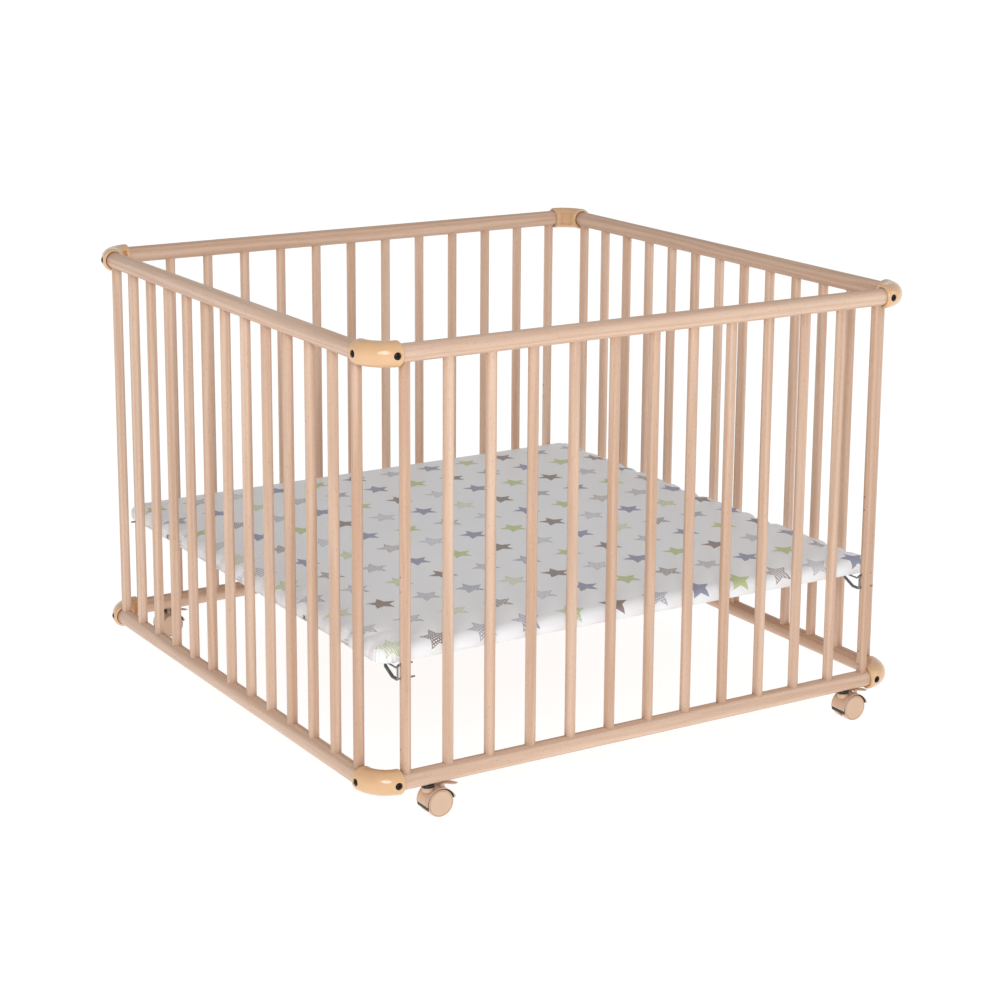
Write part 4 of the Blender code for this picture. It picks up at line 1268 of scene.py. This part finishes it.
def makeStapleTree():
    # staples that hold the hem to the board, a row along each side
    tree, put, out = openGroup(
        "stapleRows",
        [("Count", "NodeSocketInt", 15), ("Spacing", "NodeSocketFloat", 0.06), ("Inset", "NodeSocketFloat", 0.46),
         ("Crown", "NodeSocketFloat", 0.01), ("Wire", "NodeSocketFloat", 0.0004), ("Height", "NodeSocketFloat", 0.25),
         ("Seed", "NodeSocketInt", 11), ("Finish", "NodeSocketMaterial", None)],
        [("Geometry", "NodeSocketGeometry")], "GeometryNodeTree")
    gaps = doMath(tree, "SUBTRACT", put["Count"], 1.0)
    first = doMath(tree, "MULTIPLY", doMath(tree, "MULTIPLY", gaps, put["Spacing"]), -0.5)
    start = combine(tree, first, doMath(tree, "MULTIPLY", put["Inset"], -1.0), put["Height"])
    line = addNode(tree, "GeometryNodeMeshLine",
                   {"Count": put["Count"], "Start Location": start, "Offset": combine(tree, put["Spacing"])})
    crown = addNode(tree, "GeometryNodeMeshCylinder", {"Vertices": 8, "Radius": put["Wire"], "Depth": put["Crown"]})
    lying = addNode(tree, "GeometryNodeTransform",
                    {"Geometry": crown.outputs["Mesh"], "Rotation": (0.0, math.pi / 2, 0.0)})
    skew = addNode(tree, "FunctionNodeRandomValue",
                   {"Min": (0.0, 0.0, -0.5), "Max": (0.0, 0.0, 0.5), "Seed": put["Seed"]}, data_type="FLOAT_VECTOR")
    row = addNode(tree, "GeometryNodeInstanceOnPoints",
                  {"Points": line.outputs[0], "Instance": lying.outputs[0], "Rotation": skew.outputs[0]})
    rows = []
    for quarter in range(4):
        turned = addNode(tree, "GeometryNodeTransform",
                         {"Geometry": row.outputs[0], "Rotation": (0.0, 0.0, quarter * math.pi / 2)})
        rows.append(turned.outputs[0])
    return closeTree(tree, joinGeometry(tree, *rows), put, out)


staples = runTree("hemStaples", makeStapleTree(), {**stapleRow, "Finish": wireSteel})
finishPiece("hemStaples", staples, None, "base", [])
print("base made")


def makeStage():
    bpy.ops.mesh.primitive_plane_add(size=120.0, location=(0.0, 0.0, 0.0))
    floor = bpy.context.active_object
    floor.name = "floor"
    material, tree, shader = openMaterial("floorPaint")
    fillNode(tree, shader, {"Base Color": (0.35, 0.35, 0.35, 1.0), "Roughness": 0.9, "Specular IOR Level": 0.0,
                            "Emission Color": (1.0, 1.0, 1.0, 1.0), "Emission Strength": 0.86})
    floor.data.materials.append(material)
    world = bpy.data.worlds.new("studio")
    bpy.context.scene.world = world
    world.use_nodes = True
    background = world.node_tree.nodes["Background"]
    direction = world.node_tree.nodes.new("ShaderNodeTexCoord").outputs["Generated"]
    rise = addNode(world.node_tree, "ShaderNodeSeparateXYZ", {0: direction}).outputs[2]
    fillNode(world.node_tree, background,
             {0: (1.0, 1.0, 1.0, 1.0), 1: mapRange(world.node_tree, rise, 0.0, 0.45, 0.98, 0.46)})


studioLights = {
    "key": {"at": (-2.4, -3.8, 2.3), "size": 2.2, "power": 76.0},
    "fill": {"at": (3.6, -2.6, 2.2), "size": 3.0, "power": 22.0},
}


def addLights():
    for name, v in studioLights.items():
        lamp = bpy.data.lights.new(name, "AREA")
        lamp.shape = "DISK"
        lamp.size = v["size"]
        lamp.energy = v["power"]
        holder = bpy.data.objects.new(name, lamp)
        holder.location = v["at"]
        holder.rotation_euler = (Vector((0, 0, 0.35)) - Vector(v["at"])).to_track_quat("-Z", "Y").to_euler()
        bpy.context.scene.collection.objects.link(holder)


cameraSetup = {"target": (0.0265, 0.0, 0.505), "distance": 4.176, "azimuth": -31.79, "elevation": 12.95, "roll": 0.38,
               "lens": 85.60, "shift": -0.1}


def addCamera():
    v = cameraSetup
    a, e, r = (math.radians(v[k]) for k in ("azimuth", "elevation", "roll"))
    back = Vector((math.sin(a) * math.cos(e), -math.cos(a) * math.cos(e), math.sin(e)))
    right = (-back).cross(Vector((0, 0, 1))).normalized()
    up = right.cross(-back)
    right, up = right * math.cos(r) + up * math.sin(r), up * math.cos(r) - right * math.sin(r)
    camera = bpy.data.cameras.new("camera")
    camera.lens = v["lens"]
    camera.sensor_width = 36.0
    camera.shift_y = v["shift"]
    holder = bpy.data.objects.new("camera", camera)
    spot = Vector(v["target"]) + back * v["distance"]
    holder.matrix_world = Matrix(((right.x, up.x, back.x, spot.x), (right.y, up.y, back.y, spot.y),
                                  (right.z, up.z, back.z, spot.z), (0, 0, 0, 1)))
    bpy.context.scene.collection.objects.link(holder)
    bpy.context.scene.camera = holder


makeStage()
addLights()
addCamera()
bpy.context.scene.view_settings.view_transform = "Standard"
print("stage made")
